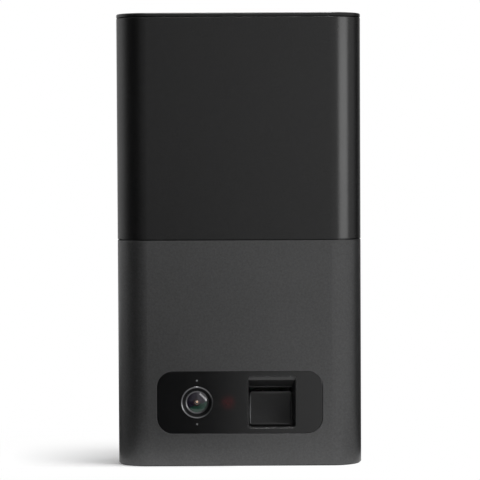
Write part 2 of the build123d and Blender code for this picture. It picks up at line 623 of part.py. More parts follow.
def make_front_chassis():
    half_width = WINDOW_WIDTH / 2 + CHASSIS_MARGIN
    top = WINDOW_Z + WINDOW_HEIGHT / 2 + CHASSIS_MARGIN
    chassis = block(-half_width, half_width, CHASSIS_FRONT_Y, CHASSIS_BACK_Y, BASE_TOP, top)
    foot_back_y = CHASSIS_BACK_Y + CAMERA_POST_LENGTH / 2
    for side in (-1, 1):
        outer = side * half_width
        inner = outer - side * CHASSIS_THICKNESS
        chassis += block(min(outer, inner), max(outer, inner), CHASSIS_BACK_Y, foot_back_y, BASE_TOP, top)
    chassis += block(-half_width, WALL_LEFT - CHASSIS_THICKNESS, CHASSIS_BACK_Y, foot_back_y, BASE_TOP,
                     BASE_TOP + CHASSIS_THICKNESS)
    for x, z in camera_post_places():
        chassis += rod_y(x, z, POST_RADIUS, CHASSIS_BACK_Y, CAMERA_BOARD_Y)
    for x, z in camera_post_places():
        pilot_y = CAMERA_BOARD_Y - BOARD_SCREW_LENGTH
        chassis -= rod_y(x, z, BOARD_SCREW_RADIUS + FIT_CLEARANCE, pilot_y, CAMERA_BOARD_Y)
    chassis -= port_frame_plug(FIT_CLEARANCE, CHASSIS_FRONT_Y, CHASSIS_BACK_Y)
    chassis -= rod_y(CAMERA_X, WINDOW_Z, BEZEL_RADIUS + BEZEL_FLANGE + FIT_CLEARANCE, CHASSIS_FRONT_Y,
                     CHASSIS_BACK_Y)
    chassis -= rod_y(EMITTER_X, WINDOW_Z, EMITTER_RADIUS + SLIP_CLEARANCE, CHASSIS_FRONT_Y, CHASSIS_BACK_Y)
    for side in (-1, 1):
        hole_z = WINDOW_Z + side * MICROPHONE_OFFSET
        chassis -= rod_y(CAMERA_X, hole_z, MICROPHONE_HOLE, CHASSIS_FRONT_Y, CHASSIS_BACK_Y)
    return chassis


def make_lens_bezel():
    """Camera ring: a thin lip level with the window, then a dish down to the lens ring."""
    dish_radius = LENS_RING_RADIUS + FIT_CLEARANCE
    flange_radius = BEZEL_RADIUS + BEZEL_FLANGE
    outline = Polyline((BEZEL_RADIUS, FRONT_Y + EDGE_ROUND / 2), (BEZEL_RADIUS - EDGE_ROUND / 2, FRONT_Y),
                       (BEZEL_RADIUS - BEZEL_LIP, FRONT_Y + BEZEL_LIP_LEAN),
                       (dish_radius, FRONT_Y + DISH_DEPTH),
                       (dish_radius, CHASSIS_BACK_Y), (flange_radius, CHASSIS_BACK_Y),
                       (flange_radius, CHASSIS_FRONT_Y), (BEZEL_RADIUS, CHASSIS_FRONT_Y), close=True)
    return turned_y(CAMERA_X, WINDOW_Z, outline)


def make_lens_ring():
    bore = LENS_RADIUS + FIT_CLEARANCE
    edge = EDGE_ROUND / 2
    outline = Polyline((LENS_RING_RADIUS, LENS_RING_FRONT_Y + edge),
                       (LENS_RING_RADIUS - edge, LENS_RING_FRONT_Y),
                       (bore, LENS_RING_FRONT_Y + LENS_RING_LEAN), (bore, LENS_SEAT_Y),
                       (LENS_RING_RADIUS, LENS_SEAT_Y), close=True)
    return turned_y(CAMERA_X, WINDOW_Z, outline)


def make_lens_glass():
    """Front lens element: domed in front, hollow behind."""
    rim_front_y = LENS_RING_FRONT_Y + EDGE_ROUND
    rim_back_y = LENS_SEAT_Y
    blank = rod_y(CAMERA_X, WINDOW_Z, LENS_RADIUS, rim_front_y - LENS_DOME, rim_back_y)
    front_radius = cap_radius(LENS_RADIUS, LENS_DOME)
    hollow_radius = cap_radius(LENS_RADIUS * LENS_HOLLOW, LENS_DOME)
    front_ball = Pos(CAMERA_X, rim_front_y - LENS_DOME + front_radius, WINDOW_Z) * Sphere(front_radius)
    hollow_ball = Pos(CAMERA_X, rim_back_y - LENS_DOME + hollow_radius, WINDOW_Z) * Sphere(hollow_radius)
    return (blank & front_ball) - hollow_ball


def cap_radius(rim_radius, rise):
    """Radius of the ball whose cap has this rim radius and rise."""
    return (rim_radius ** 2 + rise ** 2) / (2 * rise)


def make_lens_barrel():
    """Barrel behind the front lens, stepped down towards the image sensor."""
    step_y = (LENS_SEAT_Y + BARREL_BACK_Y) / 2
    mouth = LENS_RADIUS * BARREL_BORE
    step = LENS_RADIUS * BARREL_STEP
    waist = LENS_RADIUS * BARREL_WAIST
    outline = Polyline((LENS_RADIUS, LENS_SEAT_Y), (mouth, LENS_SEAT_Y), (step, step_y), (waist, step_y),
                       (waist, BARREL_BACK_Y), (LENS_RADIUS, BARREL_BACK_Y), close=True)
    return turned_y(CAMERA_X, WINDOW_Z, outline)


def make_camera_holder():
    """Square lens mount on the camera board, threaded round the barrel."""
    front_y = CHASSIS_BACK_Y + CAMERA_HOLDER_GAP
    holder = upright_plate(CAMERA_X, WINDOW_Z, CAMERA_HOLDER_SIZE, CAMERA_HOLDER_SIZE, BOARD_CORNER,
                           front_y, CAMERA_BOARD_Y)
    holder -= rod_y(CAMERA_X, WINDOW_Z, LENS_RADIUS + FIT_CLEARANCE, front_y, BARREL_BACK_Y)
    holder -= rod_y(CAMERA_X, WINDOW_Z, LENS_RADIUS - CAMERA_HOLDER_SHELF, BARREL_BACK_Y, CAMERA_BOARD_Y)
    return holder


def make_camera_board():
    """Camera board with the image sensor on its front and a ribbon socket on its back."""
    back_y = CAMERA_BOARD_Y + BOARD_THICKNESS
    board = upright_plate(CAMERA_X, WINDOW_Z, CAMERA_BOARD_WIDTH, CAMERA_BOARD_HEIGHT, BOARD_CORNER,
                          CAMERA_BOARD_Y, back_y)
    for x, z in camera_post_places():
        board -= rod_y(x, z, BOARD_SCREW_RADIUS + FIT_CLEARANCE, CAMERA_BOARD_Y, back_y)
    sensor = upright_plate(CAMERA_X, WINDOW_Z, SENSOR_WIDTH, SENSOR_HEIGHT, EDGE_ROUND,
                           CAMERA_BOARD_Y - SENSOR_DEPTH, CAMERA_BOARD_Y)
    return [board, sensor, ribbon_socket(back_y, back_y + RIBBON_SOCKET_DEPTH, RIBBON_CAMERA_Z)]


def ribbon_socket(y_low, y_high, ribbon_z):
    """Socket under one end of the ribbon cable."""
    half_width = RIBBON_WIDTH / 2 + RIBBON_SOCKET_MARGIN
    top = ribbon_z - RIBBON_THICKNESS / 2
    return block(RIBBON_X - half_width, RIBBON_X + half_width, y_low, y_high, top - RIBBON_SOCKET_HEIGHT, top)


def make_camera_ribbon():
    """Flat cable from the camera board back to the main board, with one easy S bend."""
    start_y = CAMERA_BOARD_Y + BOARD_THICKNESS
    end_y = MAIN_BOARD_FRONT_Y
    third = (end_y - start_y) / 3
    path = FilletPolyline((start_y, RIBBON_CAMERA_Z), (start_y + third, RIBBON_CAMERA_Z),
                          (end_y - third, RIBBON_MAIN_Z), (end_y, RIBBON_MAIN_Z), radius=third / 2)
    upper = path.moved(Pos(0, RIBBON_THICKNESS / 2))
    lower = path.moved(Pos(0, -RIBBON_THICKNESS / 2))
    edges = list(upper.edges()) + list(lower.edges())
    ends = [Line(lower @ 0, upper @ 0), Line(lower @ 1, upper @ 1)]
    strip = make_face(edges + ends)
    return profile_x(strip, RIBBON_X - RIBBON_WIDTH / 2, RIBBON_X + RIBBON_WIDTH / 2)


def board_screw_seats():
    camera_back_y = CAMERA_BOARD_Y + BOARD_THICKNESS
    camera = [seat_facing(x, camera_back_y, z, (0, -1, 0)) for x, z in camera_post_places()]
    main = [seat_facing(x, MAIN_BOARD_FRONT_Y, z, (0, 1, 0)) for x, z in main_post_places()]
    return camera + main


def make_board_screws():
    length = BOARD_SCREW_LENGTH + BOARD_THICKNESS - SLIP_CLEARANCE
    return [screw(seat, BOARD_SCREW_RADIUS, BOARD_SCREW_HEAD_RADIUS, BOARD_SCREW_HEAD_HEIGHT, length)
            for seat in board_screw_seats()]


def make_ir_emitter():
    """Round-nosed infrared emitter on a spacer that reaches back to the camera board."""
    nose_y = CHASSIS_FRONT_Y + SLIP_CLEARANCE
    dome_y = nose_y + EMITTER_RADIUS
    collar_y = dome_y + EMITTER_BARREL
    collar_radius = EMITTER_RADIUS + EMITTER_COLLAR
    half_way = (EMITTER_RADIUS * sin(pi / 4), dome_y - EMITTER_RADIUS * cos(pi / 4))
    nose = ThreePointArc((0, nose_y), half_way, (EMITTER_RADIUS, dome_y))
    body = Polyline((EMITTER_RADIUS, dome_y), (EMITTER_RADIUS, collar_y), (collar_radius, collar_y),
                    (collar_radius, CAMERA_BOARD_Y), (0, CAMERA_BOARD_Y), (0, nose_y))
    return turned_y(EMITTER_X, WINDOW_Z, [nose] + list(body.edges()))


def make_microphones():
    """Microphone capsules in rubber tubes behind the two window holes."""
    capsules = []
    pocket_y = CAMERA_BOARD_Y - MICROPHONE_DEPTH - MICROPHONE_CLEARANCE
    for side in (-1, 1):
        z = WINDOW_Z + side * MICROPHONE_OFFSET
        tube = rod_y(CAMERA_X, z, MICROPHONE_TUBE_RADIUS, CHASSIS_BACK_Y, CAMERA_BOARD_Y)
        tube -= rod_y(CAMERA_X, z, MICROPHONE_HOLE, CHASSIS_BACK_Y, pocket_y)
        tube -= microphone_block(z, MICROPHONE_CLEARANCE, pocket_y)
        capsules += [tube, microphone_block(z, 0, CAMERA_BOARD_Y - MICROPHONE_DEPTH)]
    return capsules


def microphone_block(z, grow, front_y):
    """Microphone capsule against the camera board, or its pocket when grown."""
    return upright_plate(CAMERA_X, z, MICROPHONE_WIDTH + 2 * grow, MICROPHONE_HEIGHT + 2 * grow, EDGE_ROUND,
                         front_y, CAMERA_BOARD_Y)


# ---------------------------------------------------------------- treat port and flap
def port_frame_plug(grow, y_front, y_back):
    """Outer shape of the port frame where it passes through the window and the chassis."""
    width = PORT_WIDTH + 2 * PORT_LIP + 2 * grow
    height = PORT_HEIGHT + 2 * PORT_LIP + 2 * grow
    return upright_plate(PORT_X, WINDOW_Z, width, height, PORT_CORNER + PORT_LIP + grow, y_front, y_back)


def make_port_frame():
    """Frame of the treat port: drafted walls in front, a stop ledge and lintel behind."""
    frame = port_frame_plug(0, GLASS_Y, PORT_BACK_Y)
    flange = PORT_LIP + PORT_FLANGE
    frame += upright_plate(PORT_X, WINDOW_Z, PORT_WIDTH + 2 * flange, PORT_HEIGHT + 2 * flange,
                           PORT_CORNER + flange, CHASSIS_BACK_Y, CHASSIS_BACK_Y + PORT_FLANGE_THICKNESS)
    pocket_width = FLAP_WIDTH + 2 * MOVING_CLEARANCE
    pocket_bottom = PORT_BOTTOM + PORT_BOTTOM_DRAFT
    pocket_top = PORT_TOP - PORT_TOP_BEVEL
    pocket_back_y = FLAP_FACE_Y + FLAP_THICKNESS + MOVING_CLEARANCE
    mouth_plane = Plane((PORT_X, GLASS_Y, WINDOW_Z), x_dir=(1, 0, 0), z_dir=(0, -1, 0))
    mouth = mouth_plane * RectangleRounded(PORT_WIDTH, PORT_HEIGHT, PORT_CORNER)
    pocket_plane = Plane((CHANNEL_X, FLAP_FACE_Y, (pocket_bottom + pocket_top) / 2), x_dir=(1, 0, 0),
                         z_dir=(0, -1, 0))
    pocket_outline = RectangleRounded(pocket_width, pocket_top - pocket_bottom, PORT_CORNER)
    frame -= loft([mouth, pocket_plane * pocket_outline], ruled=True)
    frame -= extrude(pocket_plane * pocket_outline, amount=FLAP_FACE_Y - pocket_back_y)
    pin_space_top = FLAP_PIN_Z + flap_head_radius() + MOVING_CLEARANCE
    passage_width = FLAP_WIDTH - 2 * FLAP_STOP_WIDTH
    frame -= block(CHANNEL_X - passage_width / 2, CHANNEL_X + passage_width / 2, FLAP_FACE_Y, PORT_BACK_Y,
                   pocket_bottom + FLAP_STOP_WIDTH, pin_space_top)
    frame -= block(CHANNEL_X - pocket_width / 2, CHANNEL_X + pocket_width / 2, FLAP_FACE_Y,
                   PORT_BACK_Y, FLAP_PIN_Z - flap_head_radius(), pin_space_top)
    frame += port_lintel(pin_space_top) & port_frame_plug(0, GLASS_Y, PORT_BACK_Y)
    frame -= rod_x(FLAP_PIN_Y, FLAP_PIN_Z, FLAP_PIN_RADIUS + FIT_CLEARANCE, PORT_X - PORT_WIDTH / 2,
                   PORT_X + PORT_WIDTH / 2)
    return frame


def port_lintel(bottom):
    """Top of the port: a bevel in from the front face, then a slope back to the flap's pin."""
    outline = make_face(Polyline((GLASS_Y, PORT_TOP), (GLASS_Y + PORT_BEVEL_DEPTH, PORT_TOP - PORT_TOP_BEVEL),
                                 (FLAP_FACE_Y + FLAP_THICKNESS, bottom), (PORT_BACK_Y, bottom),
                                 (PORT_BACK_Y, PORT_TOP), close=True))
    return profile_x(outline, PORT_X - PORT_WIDTH / 2, PORT_X + PORT_WIDTH / 2)


def flap_head_radius():
    """Reach of the flap's upper edge about its pin."""
    return sqrt(FLAP_PIN_SETBACK ** 2 + FLAP_PIN_DROP ** 2)


def flap_dish(middle_z):
    """Shallow scoop in the flap's face: a hollow floor with sloping walls inside the rim."""
    mouth_plane = Plane((CHANNEL_X, FLAP_FACE_Y, middle_z), x_dir=(1, 0, 0), z_dir=(0, -1, 0))
    mouth = mouth_plane * RectangleRounded(FLAP_WIDTH - 2 * FLAP_RIM, FLAP_HEIGHT - 2 * FLAP_RIM,
                                           FLAP_CORNER - FLAP_RIM)
    inset = FLAP_RIM + FLAP_DISH_SLOPE
    floor = mouth_plane * RectangleRounded(FLAP_WIDTH - 2 * inset, FLAP_HEIGHT - 2 * inset, FLAP_DISH_CORNER)
    field = loft([mouth, Pos(0, FLAP_DISH_DEPTH, 0) * floor], ruled=True)
    ball_y = FLAP_FACE_Y + FLAP_DISH_DEPTH - FLAP_DISH_RADIUS
    return field & Pos(CHANNEL_X, ball_y, middle_z) * Sphere(FLAP_DISH_RADIUS)


def make_guard_flap():
    middle_z = (FLAP_TOP + FLAP_BOTTOM) / 2
    flap = upright_plate(CHANNEL_X, middle_z, FLAP_WIDTH, FLAP_HEIGHT, FLAP_CORNER, FLAP_FACE_Y,
                         FLAP_FACE_Y + FLAP_THICKNESS)
    flap = fillet(flap.faces().sort_by(Axis.Y)[0].edges(), FLAP_EDGE_ROUND)
    flap -= flap_dish(middle_z)
    barrel_radius = FLAP_PIN_RADIUS + FLAP_BARREL_WALL
    barrel_length = FLAP_WIDTH / 4
    for left in (FLAP_LEFT + FLAP_BARREL_INSET, FLAP_RIGHT - FLAP_BARREL_INSET - barrel_length):
        right = left + barrel_length
        flap += rod_x(FLAP_PIN_Y, FLAP_PIN_Z, barrel_radius, left, right)
        flap += block(left, right, FLAP_FACE_Y + FLAP_THICKNESS / 2, FLAP_PIN_Y,
                      FLAP_PIN_Z - barrel_radius, FLAP_PIN_Z + FLAP_PIN_RADIUS)
    flap -= rod_x(FLAP_PIN_Y, FLAP_PIN_Z, FLAP_PIN_RADIUS + FIT_CLEARANCE, FLAP_LEFT, FLAP_RIGHT)
    return flap


def make_flap_pin():
    return rod_x(FLAP_PIN_Y, FLAP_PIN_Z, FLAP_PIN_RADIUS, PORT_X - PORT_WIDTH / 2 + SLIP_CLEARANCE,
                 PORT_X + PORT_WIDTH / 2 - SLIP_CLEARANCE)


def make_flap_spring():
    """Torsion spring round the pin: its coil, a leg down behind the flap and one back under the lintel."""
    coil_radius = FLAP_PIN_RADIUS + FLAP_SPRING_GAP + WIRE_RADIUS
    coil_length = FLAP_WIDTH / 6
    left = CHANNEL_X - coil_length / 2
    place = Plane((left, FLAP_PIN_Y, FLAP_PIN_Z), x_dir=(0, -1, 0), z_dir=(1, 0, 0))
    turns = coil(place, coil_radius, coil_length, FLAP_SPRING_TURNS, lefthand=True)
    lower_leg = rod_z(left, FLAP_PIN_Y - coil_radius, WIRE_RADIUS, FLAP_PIN_Z - FLAP_SPRING_LEG, FLAP_PIN_Z)
    back_leg = rod_y(left + coil_length, FLAP_PIN_Z + coil_radius, WIRE_RADIUS, FLAP_PIN_Y, PORT_BACK_Y)
    return turns, lower_leg, back_leg


# ---------------------------------------------------------------- treat channel
def feeder_boss_places():
    reach = FEEDER_BORE_RADIUS + FEEDER_WALL + BOSS_RADIUS * 0.6
    return [(FEEDER_Y + reach * cos(radians(turn)), FEEDER_Z + reach * sin(radians(turn)))
            for turn in FEEDER_BOSS_TURNS]


def chamber_boss_places():
    shaft_front = (DROP_FRONT_Y - CHANNEL_WALL - BOSS_RADIUS * BOSS_OVERLAP, KICKER_Z)
    shaft_back = (CHAMBER_BACK_Y + BOSS_RADIUS * BOSS_OVERLAP, FEEDER_FLOOR_Z - BOSS_RADIUS)
    low_z = BASE_TOP + BASE_SCREW_LENGTH / 2
    return [shaft_front, shaft_back, (FRONT_LEG_Y, low_z), (BACK_LEG_Y, low_z)]


def feeder_ways(wall):
    """Throat above the rotor and drop opening below it as (y, z), with a wall on each side."""
    throat = Rectangle(THROAT_DEPTH + 2 * wall, DECK_BOTTOM - FEEDER_Z)
    drop = Rectangle(DROP_BACK_Y - DROP_FRONT_Y + 2 * wall, FEEDER_Z - FEEDER_FLOOR_Z)
    throat_place = Pos(FEEDER_Y, (FEEDER_Z + DECK_BOTTOM) / 2)
    drop_place = Pos((DROP_FRONT_Y + DROP_BACK_Y) / 2, (FEEDER_FLOOR_Z + FEEDER_Z) / 2)
    return throat_place * throat + drop_place * drop


def feeder_outline():
    """Outer outline of the feeder housing as (y, z)."""
    outline = Pos(FEEDER_Y, FEEDER_Z) * Circle(FEEDER_BORE_RADIUS + FEEDER_WALL)
    outline += feeder_ways(CHANNEL_WALL)
    for y, z in feeder_boss_places():
        outline += Pos(y, z) * Circle(BOSS_RADIUS)
    return outline


def feeder_space():
    """Space inside the feeder housing: throat, vane bore and drop opening."""
    return Pos(FEEDER_Y, FEEDER_Z) * Circle(FEEDER_BORE_RADIUS) + feeder_ways(0)


def spacer(y, z):
    """Boss from the channel's left wall out to the motor plate."""
    return rod_x(y, z, SPACER_RADIUS, PLATE_RIGHT, WALL_LEFT)


def screw_pilot(y, z, x_low, x_high):
    return rod_x(y, z, SCREW_RADIUS + FIT_CLEARANCE, x_low, x_high)


def bush_hole(y, z, x_low, x_high):
    return rod_x(y, z, BUSH_RADIUS + FIT_CLEARANCE, x_low, x_high)


def make_feeder_housing():
    plate_height = 2 * (FEEDER_Z - FEEDER_FLOOR_Z)
    plate = Pos(FEEDER_Y, FEEDER_Z) * RectangleRounded(FEEDER_PLATE_WIDTH, plate_height, FEEDER_PLATE_CORNER)
    housing = profile_x(feeder_outline(), WALL_LEFT, CHANNEL_RIGHT)
    housing += profile_x(plate, WALL_LEFT, CHANNEL_LEFT)
    housing -= profile_x(feeder_space(), CHANNEL_LEFT, CHANNEL_RIGHT)
    for y, z in FEEDER_SPACERS:
        housing += spacer(y, z)
        housing -= screw_pilot(y, z, PLATE_RIGHT, PLATE_RIGHT + SCREW_LENGTH)
    for y, z in feeder_boss_places():
        housing -= screw_pilot(y, z, CHANNEL_RIGHT - SCREW_LENGTH, CHANNEL_RIGHT)
    housing -= bush_hole(FEEDER_Y, FEEDER_Z, WALL_LEFT, CHANNEL_LEFT)
    return housing


def kicker_arc_point(y):
    """Point of the chamber floor under the kicker's tip, at a distance y."""
    return (y, KICKER_Z - sqrt(KICKER_ARC_RADIUS ** 2 - (KICKER_Y - y) ** 2))


def chamber_space():
    """Space inside the launch chamber: ramp, curved floor, back wall and drop opening."""
    ramp_start = (CHAMBER_FRONT_Y, PORT_BOTTOM + PORT_BOTTOM_DRAFT + FLAP_STOP_WIDTH)
    crest = kicker_arc_point(RAMP_CREST_Y)
    heel = kicker_arc_point(CHAMBER_BACK_Y)
    floor = ThreePointArc(crest, kicker_arc_point(KICKER_Y), heel)
    hub_top = KICKER_Z + KICKER_HUB_RADIUS + 2 * KICKER_CLEARANCE
    walls = Polyline(heel, (CHAMBER_BACK_Y, hub_top), (DROP_BACK_Y, FEEDER_FLOOR_Z - CHANNEL_WALL),
                     (DROP_BACK_Y, FEEDER_FLOOR_Z), (DROP_FRONT_Y, FEEDER_FLOOR_Z),
                     (DROP_FRONT_Y, CHAMBER_CEILING_Z), (CHAMBER_FRONT_Y, CHAMBER_CEILING_Z),
                     ramp_start, crest)
    return make_face([floor] + list(walls.edges()))


def chamber_outline():
    """Outer outline of the launch chamber as (y, z), with its two legs."""
    back_y = CHAMBER_BACK_Y + CHANNEL_WALL
    ramp_under = PORT_BOTTOM - CHANNEL_WALL
    arc_under = KICKER_Z - KICKER_ARC_RADIUS - CHANNEL_WALL
    outline = make_face(Polyline((CHAMBER_FRONT_Y, ramp_under), (back_y, arc_under), (back_y, FEEDER_FLOOR_Z),
                                 (DROP_FRONT_Y - CHANNEL_WALL, FEEDER_FLOOR_Z),
                                 (DROP_FRONT_Y - CHANNEL_WALL, CHAMBER_CEILING_Z + CHANNEL_WALL),
                                 (CHAMBER_FRONT_Y, CHAMBER_CEILING_Z + CHANNEL_WALL), close=True))
    leg_height = PORT_BOTTOM + PORT_BOTTOM_DRAFT - BASE_TOP
    for leg_y in (FRONT_LEG_Y, BACK_LEG_Y):
        outline += Pos(leg_y, BASE_TOP + leg_height / 2) * Rectangle(LEG_DEPTH, leg_height)
    for y, z in chamber_boss_places():
        outline += Pos(y, z) * Circle(BOSS_RADIUS)
    return outline


def make_launch_chamber():
    chamber = profile_x(chamber_outline(), WALL_LEFT, CHANNEL_RIGHT)
    chamber -= profile_x(chamber_space(), CHANNEL_LEFT, CHANNEL_RIGHT)
    for y, z in CHAMBER_SPACERS:
        chamber += spacer(y, z)
        chamber -= screw_pilot(y, z, PLATE_RIGHT, PLATE_RIGHT + SCREW_LENGTH)
    for y, z in chamber_boss_places():
        chamber -= screw_pilot(y, z, CHANNEL_RIGHT - SCREW_LENGTH, CHANNEL_RIGHT)
    pilot_top = BASE_SCREW_SEAT + BASE_SCREW_LENGTH
    for leg_y in (FRONT_LEG_Y, BACK_LEG_Y):
        chamber -= rod_z(CHANNEL_X, leg_y, BASE_SCREW_RADIUS + FIT_CLEARANCE, BASE_TOP, pilot_top)
    chamber -= bush_hole(KICKER_Y, KICKER_Z, WALL_LEFT, CHANNEL_LEFT)
    return chamber


def cover_screw_places():
    return feeder_boss_places() + chamber_boss_places()


def make_side_cover():
    """Right-hand wall of the feeder and the launch chamber in one plate."""
    cover = profile_x(feeder_outline() + chamber_outline(), CHANNEL_RIGHT, WALL_RIGHT)
    for y, z in cover_screw_places():
        cover -= screw_pilot(y, z, CHANNEL_RIGHT, WALL_RIGHT)
    cover -= bush_hole(FEEDER_Y, FEEDER_Z, CHANNEL_RIGHT, WALL_RIGHT)
    cover -= bush_hole(KICKER_Y, KICKER_Z, CHANNEL_RIGHT, WALL_RIGHT)
    peg_y, peg_z = spring_peg_place()
    cover += rod_x(peg_y, peg_z, SCREW_RADIUS, WALL_RIGHT, kicker_spring_span()[0] + 2 * SPRING_WIRE_RADIUS)
    return cover


def bush(y, z, outer_x, side):
    """Flanged bush whose flange lies on the wall's outer face at outer_x."""
    wall_inner = outer_x + side * CHANNEL_WALL
    flange_outer = outer_x - side * BUSH_FLANGE
    low, _, high = sorted((wall_inner, outer_x, flange_outer))
    sleeve = rod_x(y, z, BUSH_RADIUS, min(outer_x, wall_inner), max(outer_x, wall_inner))
    flange = rod_x(y, z, BUSH_FLANGE_RADIUS, min(outer_x, flange_outer), max(outer_x, flange_outer))
    return sleeve + flange - rod_x(y, z, SHAFT_RADIUS + FIT_CLEARANCE, low, high)


def make_shaft_bushes():
    places = [(FEEDER_Y, FEEDER_Z), (KICKER_Y, KICKER_Z)]
    left = [bush(y, z, WALL_LEFT, 1) for y, z in places]
    right = [bush(y, z, WALL_RIGHT, -1) for y, z in places]
    return left + right


def mechanism_screw_seats():
    cover = [seat_facing(WALL_RIGHT, y, z, (-1, 0, 0)) for y, z in cover_screw_places()]
    spacers = FEEDER_SPACERS + CHAMBER_SPACERS
    plate = [seat_facing(PLATE_LEFT, y, z, (1, 0, 0)) for y, z in spacers]
    motors = [seat_facing(PLATE_RIGHT, y, z, (-1, 0, 0)) for y, z in motor_screw_places()]
    return cover + plate + motors


def make_mechanism_screws():
    return [screw(seat, SCREW_RADIUS, SCREW_HEAD_RADIUS, SCREW_HEAD_HEIGHT, SCREW_LENGTH)
            for seat in mechanism_screw_seats()]


# ---------------------------------------------------------------- feeder rotor
def make_feeder_shaft():
    return rod_x(FEEDER_Y, FEEDER_Z, SHAFT_RADIUS, GEAR_LEFT, WALL_RIGHT + SHAFT_OVERHANG)


def vane_outline(turn):
    """One vane as (y, z), from its root in the hub out to its rounded tip."""
    middle = (VANE_ROOT + VANE_RADIUS) / 2
    blade = Pos(middle, 0) * RectangleRounded(VANE_RADIUS - VANE_ROOT, VANE_THICKNESS, VANE_TIP_ROUND)
    return Pos(FEEDER_Y, FEEDER_Z) * Rot(0, 0, turn) * blade


def vane_turns():
    """Vane directions: two vanes stand either side of straight up, so a pocket is open above."""
    step = 360 / VANE_COUNT
    return [90 + step / 2 + step * index for index in range(VANE_COUNT)]


def rotor_span():
    return CHANNEL_LEFT + KICKER_CLEARANCE, CHANNEL_RIGHT - KICKER_CLEARANCE


def make_feeder_rotor():
    left, right = rotor_span()
    hub = rod_x(FEEDER_Y, FEEDER_Z, HUB_RADIUS, left, right)
    hub -= rod_x(FEEDER_Y, FEEDER_Z, SHAFT_RADIUS, left, right)
    for turn in vane_turns():
        hub -= profile_x(vane_outline(turn), left, right)
    return hub


def make_feeder_vanes():
    left, right = rotor_span()
    return [profile_x(vane_outline(turn), left, right) for turn in vane_turns()]


def make_feeder_gear():
    gear = profile_x(gear_outline(FEEDER_GEAR_TEETH, FEEDER_Y, FEEDER_Z, pi), GEAR_LEFT, GEAR_RIGHT)
    web_inner = BUSH_RADIUS + WEB_HUB
    web_outer = GEAR_MODULE * FEEDER_GEAR_TEETH / 2 - WEB_RIM
    web = rod_x(FEEDER_Y, FEEDER_Z, web_outer, GEAR_LEFT, GEAR_LEFT + GEAR_WIDTH / 3)
    web -= rod_x(FEEDER_Y, FEEDER_Z, web_inner, GEAR_LEFT, GEAR_LEFT + GEAR_WIDTH / 3)
    gear -= web
    for pocket in range(VANE_COUNT):
        turn = 2 * pi * pocket / VANE_COUNT + pi / 2
        hole_y = FEEDER_Y + WEB_HOLE_CIRCLE * cos(turn)
        hole_z = FEEDER_Z + WEB_HOLE_CIRCLE * sin(turn)
        gear -= rod_x(hole_y, hole_z, WEB_HOLE_RADIUS, GEAR_LEFT, GEAR_RIGHT)
    return gear - rod_x(FEEDER_Y, FEEDER_Z, SHAFT_RADIUS, GEAR_LEFT, GEAR_RIGHT)


def make_pinion(y, z):
    """Pinion on the gearmotor's output shaft."""
    tooth_space_on_centres = pi / PINION_TEETH
    teeth = profile_x(gear_outline(PINION_TEETH, y, z, tooth_space_on_centres), GEAR_LEFT, GEAR_RIGHT)
    return teeth + rod_x(y, z, SHAFT_RADIUS, PLATE_LEFT - PINION_SHAFT_DEPTH, GEAR_RIGHT)


# ---------------------------------------------------------------- kicker
def make_kicker_shaft():
    spring_end = kicker_spring_span()[1]
    shaft = rod_x(KICKER_Y, KICKER_Z, SHAFT_RADIUS, GEAR_LEFT, spring_end + SHAFT_RADIUS)
    cross_hole = SPRING_WIRE_RADIUS + FIT_CLEARANCE
    return shaft - rod_y(spring_end, KICKER_Z, cross_hole, KICKER_Y - SHAFT_RADIUS, KICKER_Y + SHAFT_RADIUS)


def make_kicker_paddle():
    """Paddle that hangs from its hub and sweeps treats up the curved floor."""
    left, right = rotor_span()
    tip_z = KICKER_Z - KICKER_REACH
    half = KICKER_THICKNESS / 2
    paddle = rod_x(KICKER_Y, KICKER_Z, KICKER_HUB_RADIUS, left, right)
    paddle += block(left, right, KICKER_Y - half, KICKER_Y + half, tip_z + half, KICKER_Z)
    paddle += rod_x(KICKER_Y, tip_z + half, half, left, right)
    rib_z = KICKER_Z - KICKER_REACH * KICKER_RIB_REACH
    rib = make_face(Polyline((KICKER_Y, KICKER_Z), (KICKER_Y - KICKER_HUB_RADIUS, KICKER_Z),
                             (KICKER_Y - half, rib_z), (KICKER_Y, rib_z), close=True))
    rib_inset = (right - left) / 3
    for x in (left + rib_inset, right - rib_inset):
        paddle += profile_x(rib, x - half, x + half)
    return paddle - rod_x(KICKER_Y, KICKER_Z, SHAFT_RADIUS, left, right)


def make_kicker_sector():
    """Toothed sector that faces the pinion through the whole swing."""
    gear = profile_x(gear_outline(KICKER_GEAR_TEETH, KICKER_Y, KICKER_Z, pi), GEAR_LEFT, GEAR_RIGHT)
    tooth_step = 360 / KICKER_GEAR_TEETH
    above = tooth_step * (int(SECTOR_MARGIN / tooth_step) + 0.5)
    below = tooth_step * (int((KICKER_SWING + SECTOR_MARGIN) / tooth_step) + 0.5)
    reach = GEAR_MODULE * KICKER_GEAR_TEETH
    directions = [radians(180 - above), radians(180), radians(180 + below / 2), radians(180 + below)]
    rim = [(KICKER_Y + reach * cos(turn), KICKER_Z + reach * sin(turn)) for turn in directions]
    wedge = make_face(Polyline((KICKER_Y, KICKER_Z), *rim, close=True))
    sector = gear & profile_x(wedge, GEAR_LEFT, GEAR_RIGHT)
    sector += rod_x(KICKER_Y, KICKER_Z, BUSH_FLANGE_RADIUS, GEAR_LEFT, GEAR_RIGHT)
    return sector - rod_x(KICKER_Y, KICKER_Z, SHAFT_RADIUS, GEAR_LEFT, GEAR_RIGHT)


def spring_peg_place():
    """Peg on the side cover that holds the kicker spring's fixed leg."""
    peg_y = KICKER_Y - SPRING_COIL_RADIUS - SPRING_WIRE_RADIUS - SCREW_RADIUS - FIT_CLEARANCE
    return peg_y, KICKER_Z + SPRING_PEG_RISE


